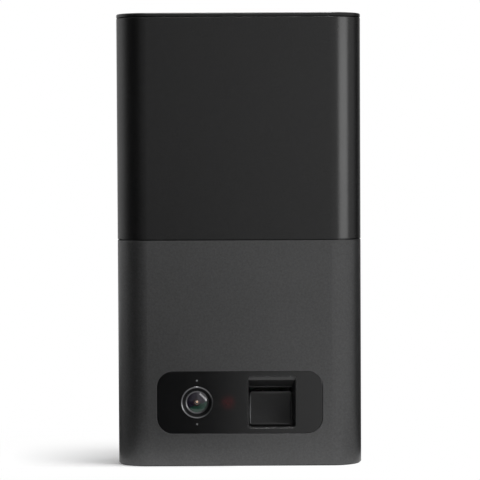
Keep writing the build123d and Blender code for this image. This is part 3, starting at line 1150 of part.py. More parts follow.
def kicker_spring_span():
    """X of the first and last turn of the kicker spring, on the wire's centre line."""
    left = WALL_RIGHT + SCREW_HEAD_HEIGHT + SPRING_WIRE_RADIUS + SLIP_CLEARANCE
    return left, left + SPRING_LENGTH


def make_kicker_spring():
    """Torsion spring: its free leg stands against the cover's peg, its inner leg crosses the shaft."""
    left, right = kicker_spring_span()
    place = Plane((left, KICKER_Y, KICKER_Z), x_dir=(0, -1, 0), z_dir=(1, 0, 0))
    spring = coil(place, SPRING_COIL_RADIUS, right - left, SPRING_TURNS, SPRING_WIRE_RADIUS)
    leg_y = KICKER_Y - SPRING_COIL_RADIUS
    peg_z = spring_peg_place()[1]
    free_leg = rod_z(left, leg_y, SPRING_WIRE_RADIUS, KICKER_Z, peg_z + SCREW_RADIUS)
    inner_leg = rod_y(right, KICKER_Z, SPRING_WIRE_RADIUS, leg_y, KICKER_Y + SHAFT_RADIUS)
    return spring + free_leg + inner_leg


def make_kicker_rest_pad():
    """Rubber pad that the paddle rests against."""
    half = REST_PAD_WIDTH / 2
    pad_front_y = KICKER_Y + KICKER_THICKNESS / 2 + MOVING_CLEARANCE
    return block(CHANNEL_X - half, CHANNEL_X + half, pad_front_y, CHAMBER_BACK_Y,
                 REST_PAD_Z - REST_PAD_HEIGHT / 2, REST_PAD_Z + REST_PAD_HEIGHT / 2)


# ---------------------------------------------------------------- motors
def motor_places():
    return [(FEEDER_MOTOR_Y, FEEDER_Z), (KICKER_MOTOR_Y, KICKER_Z)]


def motor_screw_places():
    return [(y, z + side * MOTOR_SCREW_OFFSET) for y, z in motor_places() for side in (-1, 1)]


def rounded_span(y_low, y_high, z_low, z_high):
    """Rounded rectangle between two corners, drawn as (y, z)."""
    centre = Pos((y_low + y_high) / 2, (z_low + z_high) / 2)
    return centre * RectangleRounded(y_high - y_low, z_high - z_low, SPACER_RADIUS)


def make_motor_plate():
    back_y = FEEDER_SPACERS[1][0] + SPACER_RADIUS
    upper_front_y = FEEDER_MOTOR_Y - GEARBOX_RADIUS
    lower_front_y = CHAMBER_SPACERS[0][0] - SPACER_RADIUS
    top_z = 2 * FEEDER_Z - FEEDER_FLOOR_Z
    step_z = FEEDER_Z - GEARBOX_RADIUS - SPACER_RADIUS
    low_z = CHAMBER_SPACERS[1][1] - SPACER_RADIUS
    outline = rounded_span(upper_front_y, back_y, step_z, top_z)
    outline += rounded_span(lower_front_y, back_y, low_z, top_z)
    plate = profile_x(outline, PLATE_LEFT, PLATE_RIGHT)
    for y, z in [*FEEDER_SPACERS, *CHAMBER_SPACERS, *motor_screw_places()]:
        plate -= screw_pilot(y, z, PLATE_LEFT, PLATE_RIGHT)
    for y, z in motor_places():
        plate -= rod_x(y, z, GEARBOX_BOSS_RADIUS + FIT_CLEARANCE, PLATE_LEFT, PLATE_RIGHT)
    for y, z in ((FEEDER_Y, FEEDER_Z), (KICKER_Y, KICKER_Z)):
        plate -= rod_x(y, z, SHAFT_RADIUS + SHAFT_END_CLEARANCE, PLATE_LEFT, PLATE_RIGHT)
    return plate


def make_gearmotor(y, z):
    """Gearbox with a round motor behind it, and two terminals."""
    gearbox_left = PLATE_LEFT - GEARBOX_LENGTH
    motor_left = gearbox_left - MOTOR_LENGTH
    motor = rod_x(y, z, GEARBOX_RADIUS, gearbox_left, PLATE_LEFT)
    motor += rod_x(y, z, GEARBOX_BOSS_RADIUS, PLATE_LEFT, PLATE_LEFT + GEARBOX_BOSS)
    motor += rod_x(y, z, MOTOR_RADIUS, motor_left, gearbox_left)
    motor = fillet(motor.edges().filter_by(GeomType.CIRCLE).sort_by(Axis.X)[0], MOTOR_END_ROUND)
    motor += rod_x(y, z, SHAFT_RADIUS * 2, motor_left - MOTOR_BEARING, motor_left)
    shaft_end = PLATE_LEFT - PINION_SHAFT_DEPTH - SLIP_CLEARANCE
    motor -= rod_x(y, z, SHAFT_RADIUS + FIT_CLEARANCE, shaft_end, PLATE_LEFT + GEARBOX_BOSS)
    pilot_end = PLATE_RIGHT - SCREW_LENGTH - SLIP_CLEARANCE
    for side in (-1, 1):
        terminal = Box(TERMINAL_LENGTH, TERMINAL_WIDTH, TERMINAL_THICKNESS)
        motor += Pos(motor_left - TERMINAL_LENGTH / 2, y, z + side * TERMINAL_OFFSET) * terminal
        motor -= screw_pilot(y, z + side * MOTOR_SCREW_OFFSET, pilot_end, PLATE_LEFT)
    return motor


def make_position_sensor():
    """Optical sensor on the motor plate that counts the holes in the feeder gear's web."""
    z = FEEDER_Z + WEB_HOLE_CIRCLE
    board_width, board_height, board_depth = SENSOR_BOARD
    head_width, head_height, head_depth = SENSOR_HEAD
    board = Pos(PLATE_RIGHT + board_depth / 2, FEEDER_Y, z) * Box(board_depth, board_width, board_height)
    head_x = PLATE_RIGHT + board_depth + head_depth / 2
    return board + Pos(head_x, FEEDER_Y, z) * Box(head_depth, head_width, head_height)


# ---------------------------------------------------------------- rear panel and electronics
def main_post_places():
    spread_x = MAIN_BOARD_WIDTH - 2 * BOARD_SCREW_INSET
    spread_z = MAIN_BOARD_HEIGHT - 2 * BOARD_SCREW_INSET
    return [(MAIN_BOARD_X + x, REAR_PANEL_Z + z) for x, z in corners(spread_x, spread_z)]


def grille_places():
    """Speaker holes: one in the middle and rings of 6, 12 ... round it."""
    places = [(SPEAKER_X, SPEAKER_Z)]
    for ring in range(1, GRILLE_RINGS + 1):
        for hole in range(6 * ring):
            turn = 2 * pi * hole / (6 * ring)
            reach = ring * GRILLE_PITCH
            places.append((SPEAKER_X + reach * cos(turn), SPEAKER_Z + reach * sin(turn)))
    return places


def mount_places():
    return [(side * MOUNT_SPACING / 2, MOUNT_Z) for side in (-1, 1)]


def make_rear_panel():
    """Rear panel: a plug level with the shell and a flange behind the shell's wall."""
    flange_width = REAR_PANEL_WIDTH + 2 * REAR_FLANGE
    flange_top = REAR_PANEL_Z + REAR_PANEL_HEIGHT / 2 + REAR_FLANGE
    panel = block(-flange_width / 2, flange_width / 2, FLANGE_FRONT_Y, FLANGE_BACK_Y, BASE_TOP, flange_top)
    plug = upright_plate(0, REAR_PANEL_Z, REAR_PANEL_WIDTH, REAR_PANEL_HEIGHT, REAR_PANEL_RADIUS,
                         FLANGE_FRONT_Y, PANEL_FACE_Y)
    panel += chamfer(plug.faces().sort_by(Axis.Y)[-1].edges(), EDGE_ROUND)
    panel -= upright_plate(0, REAR_PANEL_Z, REAR_PANEL_WIDTH - REAR_FLANGE,
                           REAR_PANEL_HEIGHT - REAR_FLANGE, REAR_PANEL_RADIUS - REAR_FLANGE / 2,
                           FLANGE_FRONT_Y, PANEL_INNER_Y)
    for x, z in main_post_places():
        panel += rod_y(x, z, POST_RADIUS, MAIN_BOARD_BACK_Y, PANEL_INNER_Y)
        panel -= rod_y(x, z, BOARD_SCREW_RADIUS + FIT_CLEARANCE, MAIN_BOARD_BACK_Y,
                       MAIN_BOARD_BACK_Y + BOARD_SCREW_LENGTH)
    for x, z in mount_places():
        panel += rod_y(x, z, INSERT_RADIUS + INSERT_BOSS_WALL, INSERT_END_Y, PANEL_INNER_Y)
        panel -= rod_y(x, z, INSERT_RADIUS, INSERT_END_Y, PANEL_FACE_Y)
    for x, z in rear_screw_places():
        panel -= rear_screw_body(x, z, FIT_CLEARANCE)
    for x, z in grille_places():
        panel -= rod_y(x, z, GRILLE_HOLE_RADIUS, PANEL_INNER_Y, PANEL_FACE_Y)
    panel -= rod_y(INLET_X, INLET_Z, INLET_RADIUS + SLIP_CLEARANCE, PANEL_INNER_Y, PANEL_FACE_Y)
    panel -= rod_y(RESET_X, INLET_Z, RESET_RADIUS + 2 * FIT_CLEARANCE, PANEL_INNER_Y, PANEL_FACE_Y)
    return panel


def make_mount_inserts():
    """Brass threaded inserts for a wall bracket."""
    return [ring_y(x, z, INSERT_RADIUS, INSERT_BORE_RADIUS, INSERT_END_Y, PANEL_FACE_Y)
            for x, z in mount_places()]


def make_power_inlet():
    """Barrel socket on the main board, with its nose in the rear panel."""
    shoulder_y = PANEL_INNER_Y - SLIP_CLEARANCE
    nose_y = PANEL_FACE_Y - REAR_PANEL_WALL / 4
    bore_end_y = MAIN_BOARD_BACK_Y + INLET_WALL
    inlet = upright_plate(INLET_X, INLET_Z, INLET_SIZE, INLET_SIZE, INLET_WALL, MAIN_BOARD_BACK_Y, shoulder_y)
    inlet += rod_y(INLET_X, INLET_Z, INLET_RADIUS, shoulder_y, nose_y)
    inlet -= ring_y(INLET_X, INLET_Z, INLET_BORE_RADIUS, INLET_PIN_RADIUS, bore_end_y, nose_y)
    inlet -= rod_y(INLET_X, INLET_Z, INLET_PIN_RADIUS, nose_y - INLET_PIN_SETBACK, nose_y)
    return inlet


def make_reset_button():
    """Small button that slides in the rear panel onto the switch behind it."""
    flange_back_y = PANEL_INNER_Y - MOVING_CLEARANCE
    flange_front_y = flange_back_y - RESET_FLANGE
    stem_tip_y = MAIN_BOARD_BACK_Y + SWITCH_HEIGHT + RESET_TRAVEL + 2 * FIT_CLEARANCE
    button = rod_y(RESET_X, INLET_Z, RESET_RADIUS, flange_front_y, PANEL_FACE_Y)
    button = chamfer(button.edges().filter_by(GeomType.CIRCLE).sort_by(Axis.Y)[-1], EDGE_ROUND)
    button += rod_y(RESET_X, INLET_Z, RESET_FLANGE_RADIUS, flange_front_y, flange_back_y)
    return button + rod_y(RESET_X, INLET_Z, RESET_STEM_RADIUS, stem_tip_y, flange_front_y)


def make_main_board():
    board = upright_plate(MAIN_BOARD_X, REAR_PANEL_Z, MAIN_BOARD_WIDTH, MAIN_BOARD_HEIGHT, BOARD_CORNER,
                          MAIN_BOARD_FRONT_Y, MAIN_BOARD_BACK_Y)
    for x, z in main_post_places():
        board -= rod_y(x, z, BOARD_SCREW_RADIUS + FIT_CLEARANCE, MAIN_BOARD_FRONT_Y, MAIN_BOARD_BACK_Y)
    return board


def board_part(x, z, width, height, thickness):
    """Component on the main board's front face, placed from the board's centre."""
    return upright_plate(MAIN_BOARD_X + x, REAR_PANEL_Z + z, width, height, EDGE_ROUND,
                         MAIN_BOARD_FRONT_Y - thickness, MAIN_BOARD_FRONT_Y)


def make_board_components():
    """Radio module, processor, memory, coils, capacitors, sockets and the reset switch."""
    parts = [board_part(*place_and_size) for place_and_size in BOARD_BLOCKS]
    for x, z in CAPACITOR_PLACES:
        parts.append(rod_y(MAIN_BOARD_X + x, REAR_PANEL_Z + z, CAPACITOR_RADIUS,
                           MAIN_BOARD_FRONT_Y - CAPACITOR_LENGTH, MAIN_BOARD_FRONT_Y))
    parts.append(ribbon_socket(MAIN_BOARD_FRONT_Y - RIBBON_SOCKET_DEPTH, MAIN_BOARD_FRONT_Y, RIBBON_MAIN_Z))
    parts.append(upright_plate(RESET_X, INLET_Z, SWITCH_SIZE, SWITCH_SIZE, EDGE_ROUND, MAIN_BOARD_BACK_Y,
                               MAIN_BOARD_BACK_Y + SWITCH_HEIGHT))
    return parts


def make_speaker():
    """Speaker with its rim against the gasket and its magnet towards the front."""
    rim_y = PANEL_INNER_Y - GASKET_THICKNESS
    magnet_y = rim_y - SPEAKER_DEPTH
    basket_radius = SPEAKER_RADIUS - SPEAKER_RIM
    cone_y = rim_y - CONE_DEPTH
    outline = Polyline((0, magnet_y), (MAGNET_RADIUS, magnet_y), (MAGNET_RADIUS, magnet_y + MAGNET_DEPTH),
                       (basket_radius, rim_y - SPEAKER_RIM), (SPEAKER_RADIUS, rim_y - SPEAKER_RIM),
                       (SPEAKER_RADIUS, rim_y), (basket_radius, rim_y), (SPEAKER_RADIUS / 3, cone_y),
                       (0, cone_y + CONE_DEPTH / 4), close=True)
    return turned_y(SPEAKER_X, SPEAKER_Z, outline)


def make_speaker_gasket():
    return ring_y(SPEAKER_X, SPEAKER_Z, SPEAKER_RADIUS, SPEAKER_RADIUS - SPEAKER_RIM,
                  PANEL_INNER_Y - GASKET_THICKNESS, PANEL_INNER_Y)


# ---------------------------------------------------------------- deck
def throat_slab(width, depth, z_low, z_high):
    """Rectangular slab round the feed throat's centre line."""
    outline = Pos(CHANNEL_X, FEEDER_Y) * RectangleRounded(width, depth, THROAT_CORNER)
    return extrude(Plane.XY.offset(z_low) * outline, amount=z_high - z_low)


def make_top_deck():
    """Deck that closes the shell, with four columns down to the base plate."""
    deck = casing_slab(SHELL_WALL + SLIP_CLEARANCE, DECK_BOTTOM, DECK_TOP)
    deck -= throat_slab(CHANNEL_WIDTH, THROAT_DEPTH, DECK_BOTTOM, DECK_TOP)
    deck -= throat_slab(CHANNEL_WIDTH + 2 * SEAL_WIDTH, THROAT_DEPTH + 2 * SEAL_WIDTH,
                        DECK_TOP - SEAL_GROOVE, DECK_TOP)
    pilot_top = BASE_SCREW_SEAT + BASE_SCREW_LENGTH
    for x, y in column_places():
        deck += rod_z(x, y, COLUMN_RADIUS, BASE_TOP, DECK_BOTTOM)
        deck -= rod_z(x, y, BASE_SCREW_RADIUS + FIT_CLEARANCE, BASE_TOP, pilot_top)
    return deck


def make_throat_seal():
    """Silicone ring that the hopper's spout sits above."""
    low = DECK_TOP - SEAL_GROOVE
    high = low + SEAL_THICKNESS
    ring = throat_slab(CHANNEL_WIDTH + 2 * SEAL_WIDTH - SLIP_CLEARANCE,
                       THROAT_DEPTH + 2 * SEAL_WIDTH - SLIP_CLEARANCE, low, high)
    return ring - throat_slab(CHANNEL_WIDTH, THROAT_DEPTH, low, high)


# ---------------------------------------------------------------- hopper
def make_hopper_shell():
    """Outer treat container with a floor, a spigot into the shell and a ledge for the funnel."""
    shell = casing_slab(0, HOPPER_BOTTOM, HOPPER_TOP)
    rims = shell.faces().sort_by(Axis.Z)
    shell = fillet(rims[0].edges() + rims[-1].edges(), EDGE_ROUND)
    shell -= casing_slab(HOPPER_WALL, HOPPER_BOTTOM + HOPPER_FLOOR, HOPPER_TOP)
    spigot_inset = SHELL_WALL + MOVING_CLEARANCE
    spigot = casing_slab(spigot_inset, SPIGOT_BOTTOM, HOPPER_BOTTOM)
    shell += spigot - casing_slab(spigot_inset + SPIGOT_WALL, SPIGOT_BOTTOM, HOPPER_BOTTOM)
    ledge = casing_slab(HOPPER_WALL, FUNNEL_RIM_Z - LEDGE_HEIGHT, FUNNEL_RIM_Z)
    shell += ledge - casing_slab(HOPPER_WALL + LEDGE_WIDTH, FUNNEL_RIM_Z - LEDGE_HEIGHT, FUNNEL_RIM_Z)
    spout_hole = SPOUT_SIZE + 2 * SPOUT_WALL + 2 * SLIP_CLEARANCE
    shell -= throat_slab(spout_hole, spout_hole, HOPPER_BOTTOM, HOPPER_BOTTOM + HOPPER_FLOOR)
    button_hole_width = BUTTON_WIDTH + 2 * SLIP_CLEARANCE
    button_hole_height = BUTTON_HEIGHT + 2 * SLIP_CLEARANCE
    shell -= upright_plate(0, BUTTON_Z, button_hole_width, button_hole_height, BUTTON_CORNER + SLIP_CLEARANCE,
                           HOPPER_INNER_BACK_Y, BACK_Y)
    return shell


def funnel_slope(inset, spout_size):
    """Sloping body from the hopper's outline down to the spout."""
    rim_outline = RectangleRounded(BODY_WIDTH - 2 * inset, BODY_DEPTH - 2 * inset, CORNER_RADIUS - inset)
    rim = Plane.XY.offset(FUNNEL_RIM_Z) * rim_outline
    neck_outline = Pos(CHANNEL_X, FEEDER_Y) * RectangleRounded(spout_size, spout_size, THROAT_CORNER)
    neck = Plane.XY.offset(FUNNEL_NECK_Z) * neck_outline
    return loft([neck, rim], ruled=True)


def make_hopper_funnel():
    """Removable funnel: rim on the ledge, sloping walls, spout through the hopper's floor."""
    outer_spout = SPOUT_SIZE + 2 * SPOUT_WALL
    rim_inset = HOPPER_WALL + SLIP_CLEARANCE
    rim_top = FUNNEL_RIM_Z + FUNNEL_RIM_THICKNESS
    funnel = funnel_slope(FUNNEL_MARGIN, outer_spout)
    funnel += throat_slab(outer_spout, outer_spout, SPOUT_BOTTOM, FUNNEL_NECK_Z)
    funnel += casing_slab(rim_inset, FUNNEL_RIM_Z, rim_top)
    funnel -= funnel_slope(FUNNEL_MARGIN + SPOUT_WALL, SPOUT_SIZE)
    funnel -= casing_slab(FUNNEL_MARGIN + SPOUT_WALL, FUNNEL_RIM_Z, rim_top)
    funnel -= throat_slab(SPOUT_SIZE, SPOUT_SIZE, SPOUT_BOTTOM, FUNNEL_NECK_Z)
    return funnel


# ---------------------------------------------------------------- lid and its release
def make_lid():
    lid = casing_slab(0, LID_BOTTOM, BODY_HEIGHT)
    lid = fillet(lid.faces().sort_by(Axis.Z)[-1].edges(), LID_EDGE_RADIUS)
    return fillet(lid.faces().sort_by(Axis.Z)[0].edges(), EDGE_ROUND)


def make_lid_liner():
    """Tray under the lid that fits the hopper's mouth, with the catch at its back."""
    liner = casing_slab(LINER_INSET, LINER_BOTTOM, LID_BOTTOM)
    liner -= casing_slab(LINER_INSET + LINER_WALL, LINER_BOTTOM, LID_BOTTOM - LINER_WALL)
    groove_low, groove_high = lid_seal_span()
    groove = casing_slab(LINER_INSET, groove_low, groove_high)
    liner -= groove - casing_slab(LINER_INSET + LID_SEAL_GROOVE, groove_low, groove_high)
    half = CATCH_WIDTH / 2
    liner += block(-half, half, CATCH_FRONT_Y, CATCH_BACK_Y, CATCH_BOTTOM, LINER_BOTTOM)
    liner += block(-half, half, CATCH_FRONT_Y - CATCH_LIP, CATCH_FRONT_Y, CATCH_BOTTOM,
                   CATCH_BOTTOM + CATCH_LIP_HEIGHT)
    return liner


def lid_seal_span():
    middle = (LINER_BOTTOM + LID_BOTTOM - LINER_WALL) / 2
    return middle - LID_SEAL_HEIGHT / 2, middle + LID_SEAL_HEIGHT / 2


def make_lid_seal():
    """Silicone ring in the liner's groove."""
    low, high = lid_seal_span()
    ring = casing_slab(HOPPER_WALL + MOVING_CLEARANCE, low, high)
    return ring - casing_slab(LINER_INSET + LID_SEAL_GROOVE, low, high)


def make_lid_button():
    """Release button: an oval face, a flange inside the wall and the hook behind the catch."""
    button = upright_plate(0, BUTTON_Z, BUTTON_WIDTH, BUTTON_HEIGHT, BUTTON_CORNER, BUTTON_FLANGE_FRONT_Y,
                           BACK_Y - PANEL_RECESS)
    button = chamfer(button.faces().sort_by(Axis.Y)[-1].edges(), EDGE_ROUND)
    flange_half = BUTTON_WIDTH / 2 + BUTTON_FLANGE_MARGIN
    flange_low = HOOK_BOTTOM - BUTTON_FLANGE_MARGIN
    flange_high = CATCH_BOTTOM - 2 * MOVING_CLEARANCE
    button += block(-flange_half, flange_half, BUTTON_FLANGE_FRONT_Y, BUTTON_FLANGE_BACK_Y, flange_low,
                    flange_high)
    hook_half = HOOK_WIDTH / 2
    hook_root_top = HOOK_BOTTOM + HOOK_THICKNESS
    hook_lip_bottom = CATCH_BOTTOM + CATCH_LIP_HEIGHT + MOVING_CLEARANCE
    hook_top = hook_lip_bottom + CATCH_LIP_HEIGHT
    button += block(-hook_half, hook_half, HOOK_FRONT_Y, BUTTON_FLANGE_FRONT_Y, HOOK_BOTTOM, hook_root_top)
    button += block(-hook_half, hook_half, HOOK_FRONT_Y, HOOK_BACK_Y, HOOK_BOTTOM, hook_top)
    button += block(-hook_half, hook_half, HOOK_BACK_Y, HOOK_TIP_Y, hook_lip_bottom, hook_top)
    return button


def make_latch_cover():
    """Box inside the hopper that keeps treats off the release hook."""
    front_y = HOPPER_INNER_BACK_Y - COVER_DEPTH
    low_z = HOOK_BOTTOM - COVER_DROP
    high_z = LINER_BOTTOM - COVER_SLOT_MARGIN
    half = COVER_WIDTH / 2
    inner_half = half - COVER_WALL
    cover = block(-half, half, front_y, HOPPER_INNER_BACK_Y, low_z, high_z)
    cover -= block(-inner_half, inner_half, COVER_INNER_Y, HOPPER_INNER_BACK_Y, low_z + COVER_WALL,
                   high_z - COVER_WALL)
    slot_half = CATCH_WIDTH / 2 + COVER_SLOT_MARGIN
    slot_front_y = CATCH_FRONT_Y - CATCH_LIP - COVER_SLOT_MARGIN
    return cover - block(-slot_half, slot_half, slot_front_y, HOPPER_INNER_BACK_Y, high_z - COVER_WALL,
                         high_z)


def make_latch_springs():
    """Two coil springs that push the release button out."""
    start_y = COVER_INNER_Y + WIRE_RADIUS + FIT_CLEARANCE
    length = BUTTON_FLANGE_FRONT_Y - WIRE_RADIUS - FIT_CLEARANCE - start_y
    places = [Plane((side * LATCH_SPRING_X, start_y, BUTTON_Z), x_dir=(1, 0, 0), z_dir=(0, 1, 0))
              for side in (-1, 1)]
    return [coil(place, LATCH_SPRING_RADIUS, length, LATCH_SPRING_TURNS) for place in places]


# ---------------------------------------------------------------- write every sub-part
save("foot_pad", make_foot_pad())
save("base_plate", make_base_plate())
save("base_screws", *make_base_screws())
save("body_shell", make_body_shell())
save("front_window", make_front_window())
save("front_chassis", make_front_chassis())
save("lens_bezel", make_lens_bezel())
save("lens_ring", make_lens_ring())
save("lens_glass", make_lens_glass())
save("lens_barrel", make_lens_barrel())
save("camera_holder", make_camera_holder())
save("camera_board", *make_camera_board())
save("camera_ribbon", make_camera_ribbon())
save("ir_emitter", make_ir_emitter())
save("microphones", *make_microphones())
save("port_frame", make_port_frame())
save("flap_pin", make_flap_pin())
save("flap_spring", *make_flap_spring())
save("guard_flap", make_guard_flap())
save("launch_chamber", make_launch_chamber())
save("feeder_housing", make_feeder_housing())
save("side_cover", make_side_cover())
save("shaft_bushes", *make_shaft_bushes())
save("mechanism_screws", *make_mechanism_screws())
save("motor_plate", make_motor_plate())
save("feeder_motor", make_gearmotor(FEEDER_MOTOR_Y, FEEDER_Z))
save("kicker_motor", make_gearmotor(KICKER_MOTOR_Y, KICKER_Z))
save("position_sensor", make_position_sensor())
save("feeder_shaft", make_feeder_shaft())
save("feeder_rotor", make_feeder_rotor())
save("feeder_vanes", *make_feeder_vanes())
save("feeder_gear", make_feeder_gear())
save("feeder_pinion", make_pinion(FEEDER_MOTOR_Y, FEEDER_Z))
save("kicker_shaft", make_kicker_shaft())
save("kicker_paddle", make_kicker_paddle())
save("kicker_sector", make_kicker_sector())
save("kicker_pinion", make_pinion(KICKER_MOTOR_Y, KICKER_Z))
save("kicker_spring", make_kicker_spring())
save("kicker_rest_pad", make_kicker_rest_pad())
save("rear_panel", make_rear_panel())
save("rear_panel_screws", *make_rear_panel_screws())
save("mount_inserts", *make_mount_inserts())
save("power_inlet", make_power_inlet())
save("reset_button", make_reset_button())
save("main_board", make_main_board())
save("board_components", *make_board_components())
save("board_screws", *make_board_screws())
save("speaker", make_speaker())
save("speaker_gasket", make_speaker_gasket())
save("top_deck", make_top_deck())
save("throat_seal", make_throat_seal())
save("hopper_shell", make_hopper_shell())
save("hopper_funnel", make_hopper_funnel())
save("latch_cover", make_latch_cover())
save("latch_springs", *make_latch_springs())
save("lid", make_lid())
save("lid_liner", make_lid_liner())
save("lid_seal", make_lid_seal())
save("lid_button", make_lid_button())
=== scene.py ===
"""Treat tossing pet camera: finishes, small fittings and studio round its solid parts."""

import math

import bmesh
import bpy
from bpy.props import FloatProperty, FloatVectorProperty, IntProperty, PointerProperty
from mathutils import Matrix, Quaternion, Vector


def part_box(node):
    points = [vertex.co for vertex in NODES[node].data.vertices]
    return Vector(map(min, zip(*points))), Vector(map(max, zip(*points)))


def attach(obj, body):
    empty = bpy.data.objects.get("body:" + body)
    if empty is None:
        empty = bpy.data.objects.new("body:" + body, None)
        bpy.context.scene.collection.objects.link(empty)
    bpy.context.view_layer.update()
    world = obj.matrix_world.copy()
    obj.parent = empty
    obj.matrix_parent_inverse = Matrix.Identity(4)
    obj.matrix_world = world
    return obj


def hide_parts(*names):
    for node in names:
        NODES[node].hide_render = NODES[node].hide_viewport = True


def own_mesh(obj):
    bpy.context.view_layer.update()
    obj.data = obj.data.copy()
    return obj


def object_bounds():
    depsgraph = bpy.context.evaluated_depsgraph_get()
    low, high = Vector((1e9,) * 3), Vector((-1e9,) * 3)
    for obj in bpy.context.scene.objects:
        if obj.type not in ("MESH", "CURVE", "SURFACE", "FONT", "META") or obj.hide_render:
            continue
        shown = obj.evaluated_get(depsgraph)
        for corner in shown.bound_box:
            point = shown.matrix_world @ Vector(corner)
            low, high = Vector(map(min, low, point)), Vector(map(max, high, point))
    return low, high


bl_info = {
    "name": "Treat Tossing Pet Camera",
    "version": (1, 0, 0),
    "blender": (4, 5, 0),
    "location": "View3D > Sidebar > Pet Camera",
    "description": "Finishes, small fittings and studio for a treat tossing pet camera",
    "category": "Object",
}

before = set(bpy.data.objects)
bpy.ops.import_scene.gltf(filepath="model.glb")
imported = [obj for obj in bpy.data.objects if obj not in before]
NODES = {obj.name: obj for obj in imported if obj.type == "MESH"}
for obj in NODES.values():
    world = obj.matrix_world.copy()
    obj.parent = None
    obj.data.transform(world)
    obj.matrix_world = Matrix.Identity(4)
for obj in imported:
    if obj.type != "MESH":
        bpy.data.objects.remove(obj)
CAD_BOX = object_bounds()
MM = 0.001


def middle(node):
    """Centre of a part's box."""
    low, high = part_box(node)
    return (low + high) / 2


CASING_FRONT_Y = CAD_BOX[0].y
WINDOW_FRONT_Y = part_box("front_window")[0].y
EMITTER_CENTRE = middle("ir_emitter")

# Front glass: how far it is hollowed behind, and its brown stop
LENS_LOW, LENS_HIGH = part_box("lens_glass")
LENS_CENTRE = middle("lens_glass")
LENS_RADIUS = (LENS_HIGH.x - LENS_LOW.x) / 2
LENS_HOLLOW = 0.7
GLASS_STOP = 2.2 * MM

# Bright lips of the camera's two rings
BEZEL_LIP = 8.68 * MM
RING_LIP = LENS_RADIUS - 1 * MM

# Inner lens and a glowing warm point that stands for a painted glint, set behind the front glass
ELEMENT_REACH = 3.6 * MM
ELEMENT_RISE = 1.3 * MM
ELEMENT_SEAT = 1.6 * MM
ELEMENT_BACK = 1.9 * MM
PUPIL_SEAT = 0.28 * MM
PUPIL_RISE = 0.1 * MM

# Microphone meshes, set back in the window's holes
MESH_SETBACK = 0.25 * MM
MESH_RISE = 0.16 * MM
MESH_DEPTH = 0.5 * MM

# Painted highlight along the guard flap's left edge: from its left edge inwards, and from its top downwards
HIGHLIGHT_FULL, HIGHLIGHT_END = 0.34 * MM, 0.62 * MM
HIGHLIGHT_START, HIGHLIGHT_WHOLE = 1 * MM, 12 * MM

# Speaker cloth, inside the gasket's rim
CLOTH_MARGIN = 2.2 * MM
CLOTH_SETBACK = 0.12 * MM
CLOTH_SAG = 0.05 * MM
CLOTH_THICKNESS = 0.25 * MM
CLOTH_RINGS = 12

# Colours that no setting changes
STEEL = (0.55, 0.55, 0.56)
MOTOR_STEEL = (0.52, 0.52, 0.53)
SHEET_STEEL = (0.50, 0.50, 0.51)
SPRING_STEEL = (0.46, 0.46, 0.47)
BRASS = (0.62, 0.45, 0.20)
BLACKED_STEEL = (0.030, 0.030, 0.031)
ACETAL = (0.72, 0.71, 0.67)
SILICONE = (0.42, 0.42, 0.41)
BARREL_BLACK = (0.006, 0.006, 0.006)
SPEAKER_BLACK = (0.02, 0.02, 0.021)

# Most of a noise pattern's values lie between these two
NOISE_LOW, NOISE_HIGH = 0.3, 0.7


# ---------------------------------------------------------------- settings
class CasingSettings(bpy.types.PropertyGroup):
    """Colours and grain of the lower shell, the hopper and the lid."""

    shell_colour: FloatVectorProperty(
        name="Shell colour", description="Dark anodised aluminium of the lower shell",
        subtype="COLOR", size=3, min=0, max=1, default=(0.099, 0.099, 0.1))
    shell_grain: FloatProperty(
        name="Blasting grain", description="Size of the bead blasted grain",
        unit="LENGTH", min=0.0001, max=0.003, default=0.0012)
    shell_roughness: FloatProperty(
        name="Shell roughness", description="How matt the blasted metal is",
        subtype="FACTOR", min=0, max=1, default=0.38)
    hopper_colour: FloatVectorProperty(
        name="Hopper colour", description="Satin black of the treat hopper and its lid",
        subtype="COLOR", size=3, min=0, max=1, default=(0.0040, 0.0040, 0.0042))
    hopper_roughness: FloatProperty(
        name="Hopper roughness", description="How matt the satin black is",
        subtype="FACTOR", min=0, max=1, default=0.27)
    edge_wear: FloatProperty(
        name="Edge wear", description="How far handling has brightened the metal's edges",
        subtype="FACTOR", min=0, max=1, default=0.35)


class WindowSettings(bpy.types.PropertyGroup):
    """Front window, camera rings, lens and infrared emitter."""

    window_colour: FloatVectorProperty(
        name="Window colour", description="Smoked acrylic of the front window",
        subtype="COLOR", size=3, min=0, max=1, default=(0.0052, 0.0053, 0.0055))
    window_roughness: FloatProperty(
        name="Window roughness", description="How clear the window's reflections are",
        subtype="FACTOR", min=0, max=1, default=0.09)
    ring_colour: FloatVectorProperty(
        name="Ring colour", description="Turned aluminium of the camera's rings",
        subtype="COLOR", size=3, min=0, max=1, default=(0.145, 0.145, 0.15))
    emitter_glow: FloatVectorProperty(
        name="Emitter colour", description="Deep red of the infrared emitter seen through the window",
        subtype="COLOR", size=3, min=0, max=1, default=(0.036, 0.0045, 0.0055))
    # The coating's violet above and green below are painted reflections, set into the lens's colour
    violet_coating_reflection: FloatVectorProperty(
        name="Upper coating", description="Violet cast of the lens coating",
        subtype="COLOR", size=3, min=0, max=1, default=(0.010, 0.008, 0.015))
    green_coating_reflection: FloatVectorProperty(
        name="Lower coating", description="Green cast of the lens coating",
        subtype="COLOR", size=3, min=0, max=1, default=(0.006, 0.028, 0.018))
    lens_dome: FloatProperty(
        name="Lens dome", description="How far the front glass bulges",
        unit="LENGTH", min=0.0002, max=0.002, default=0.0011)
    element_radius: FloatProperty(
        name="Inner lens radius", description="Radius of the lens behind the front glass",
        unit="LENGTH", min=0.002, max=0.0045, default=0.0037)
    pupil_radius: FloatProperty(
        name="Pupil radius", description="Radius of the warm point deep in the lens",
        unit="LENGTH", min=0.0002, max=0.002, default=0.00062)
    mesh_radius: FloatProperty(
        name="Microphone mesh radius", description="Radius of the meshes over and under the camera",
        unit="LENGTH", min=0.0002, max=0.001, default=0.00056)


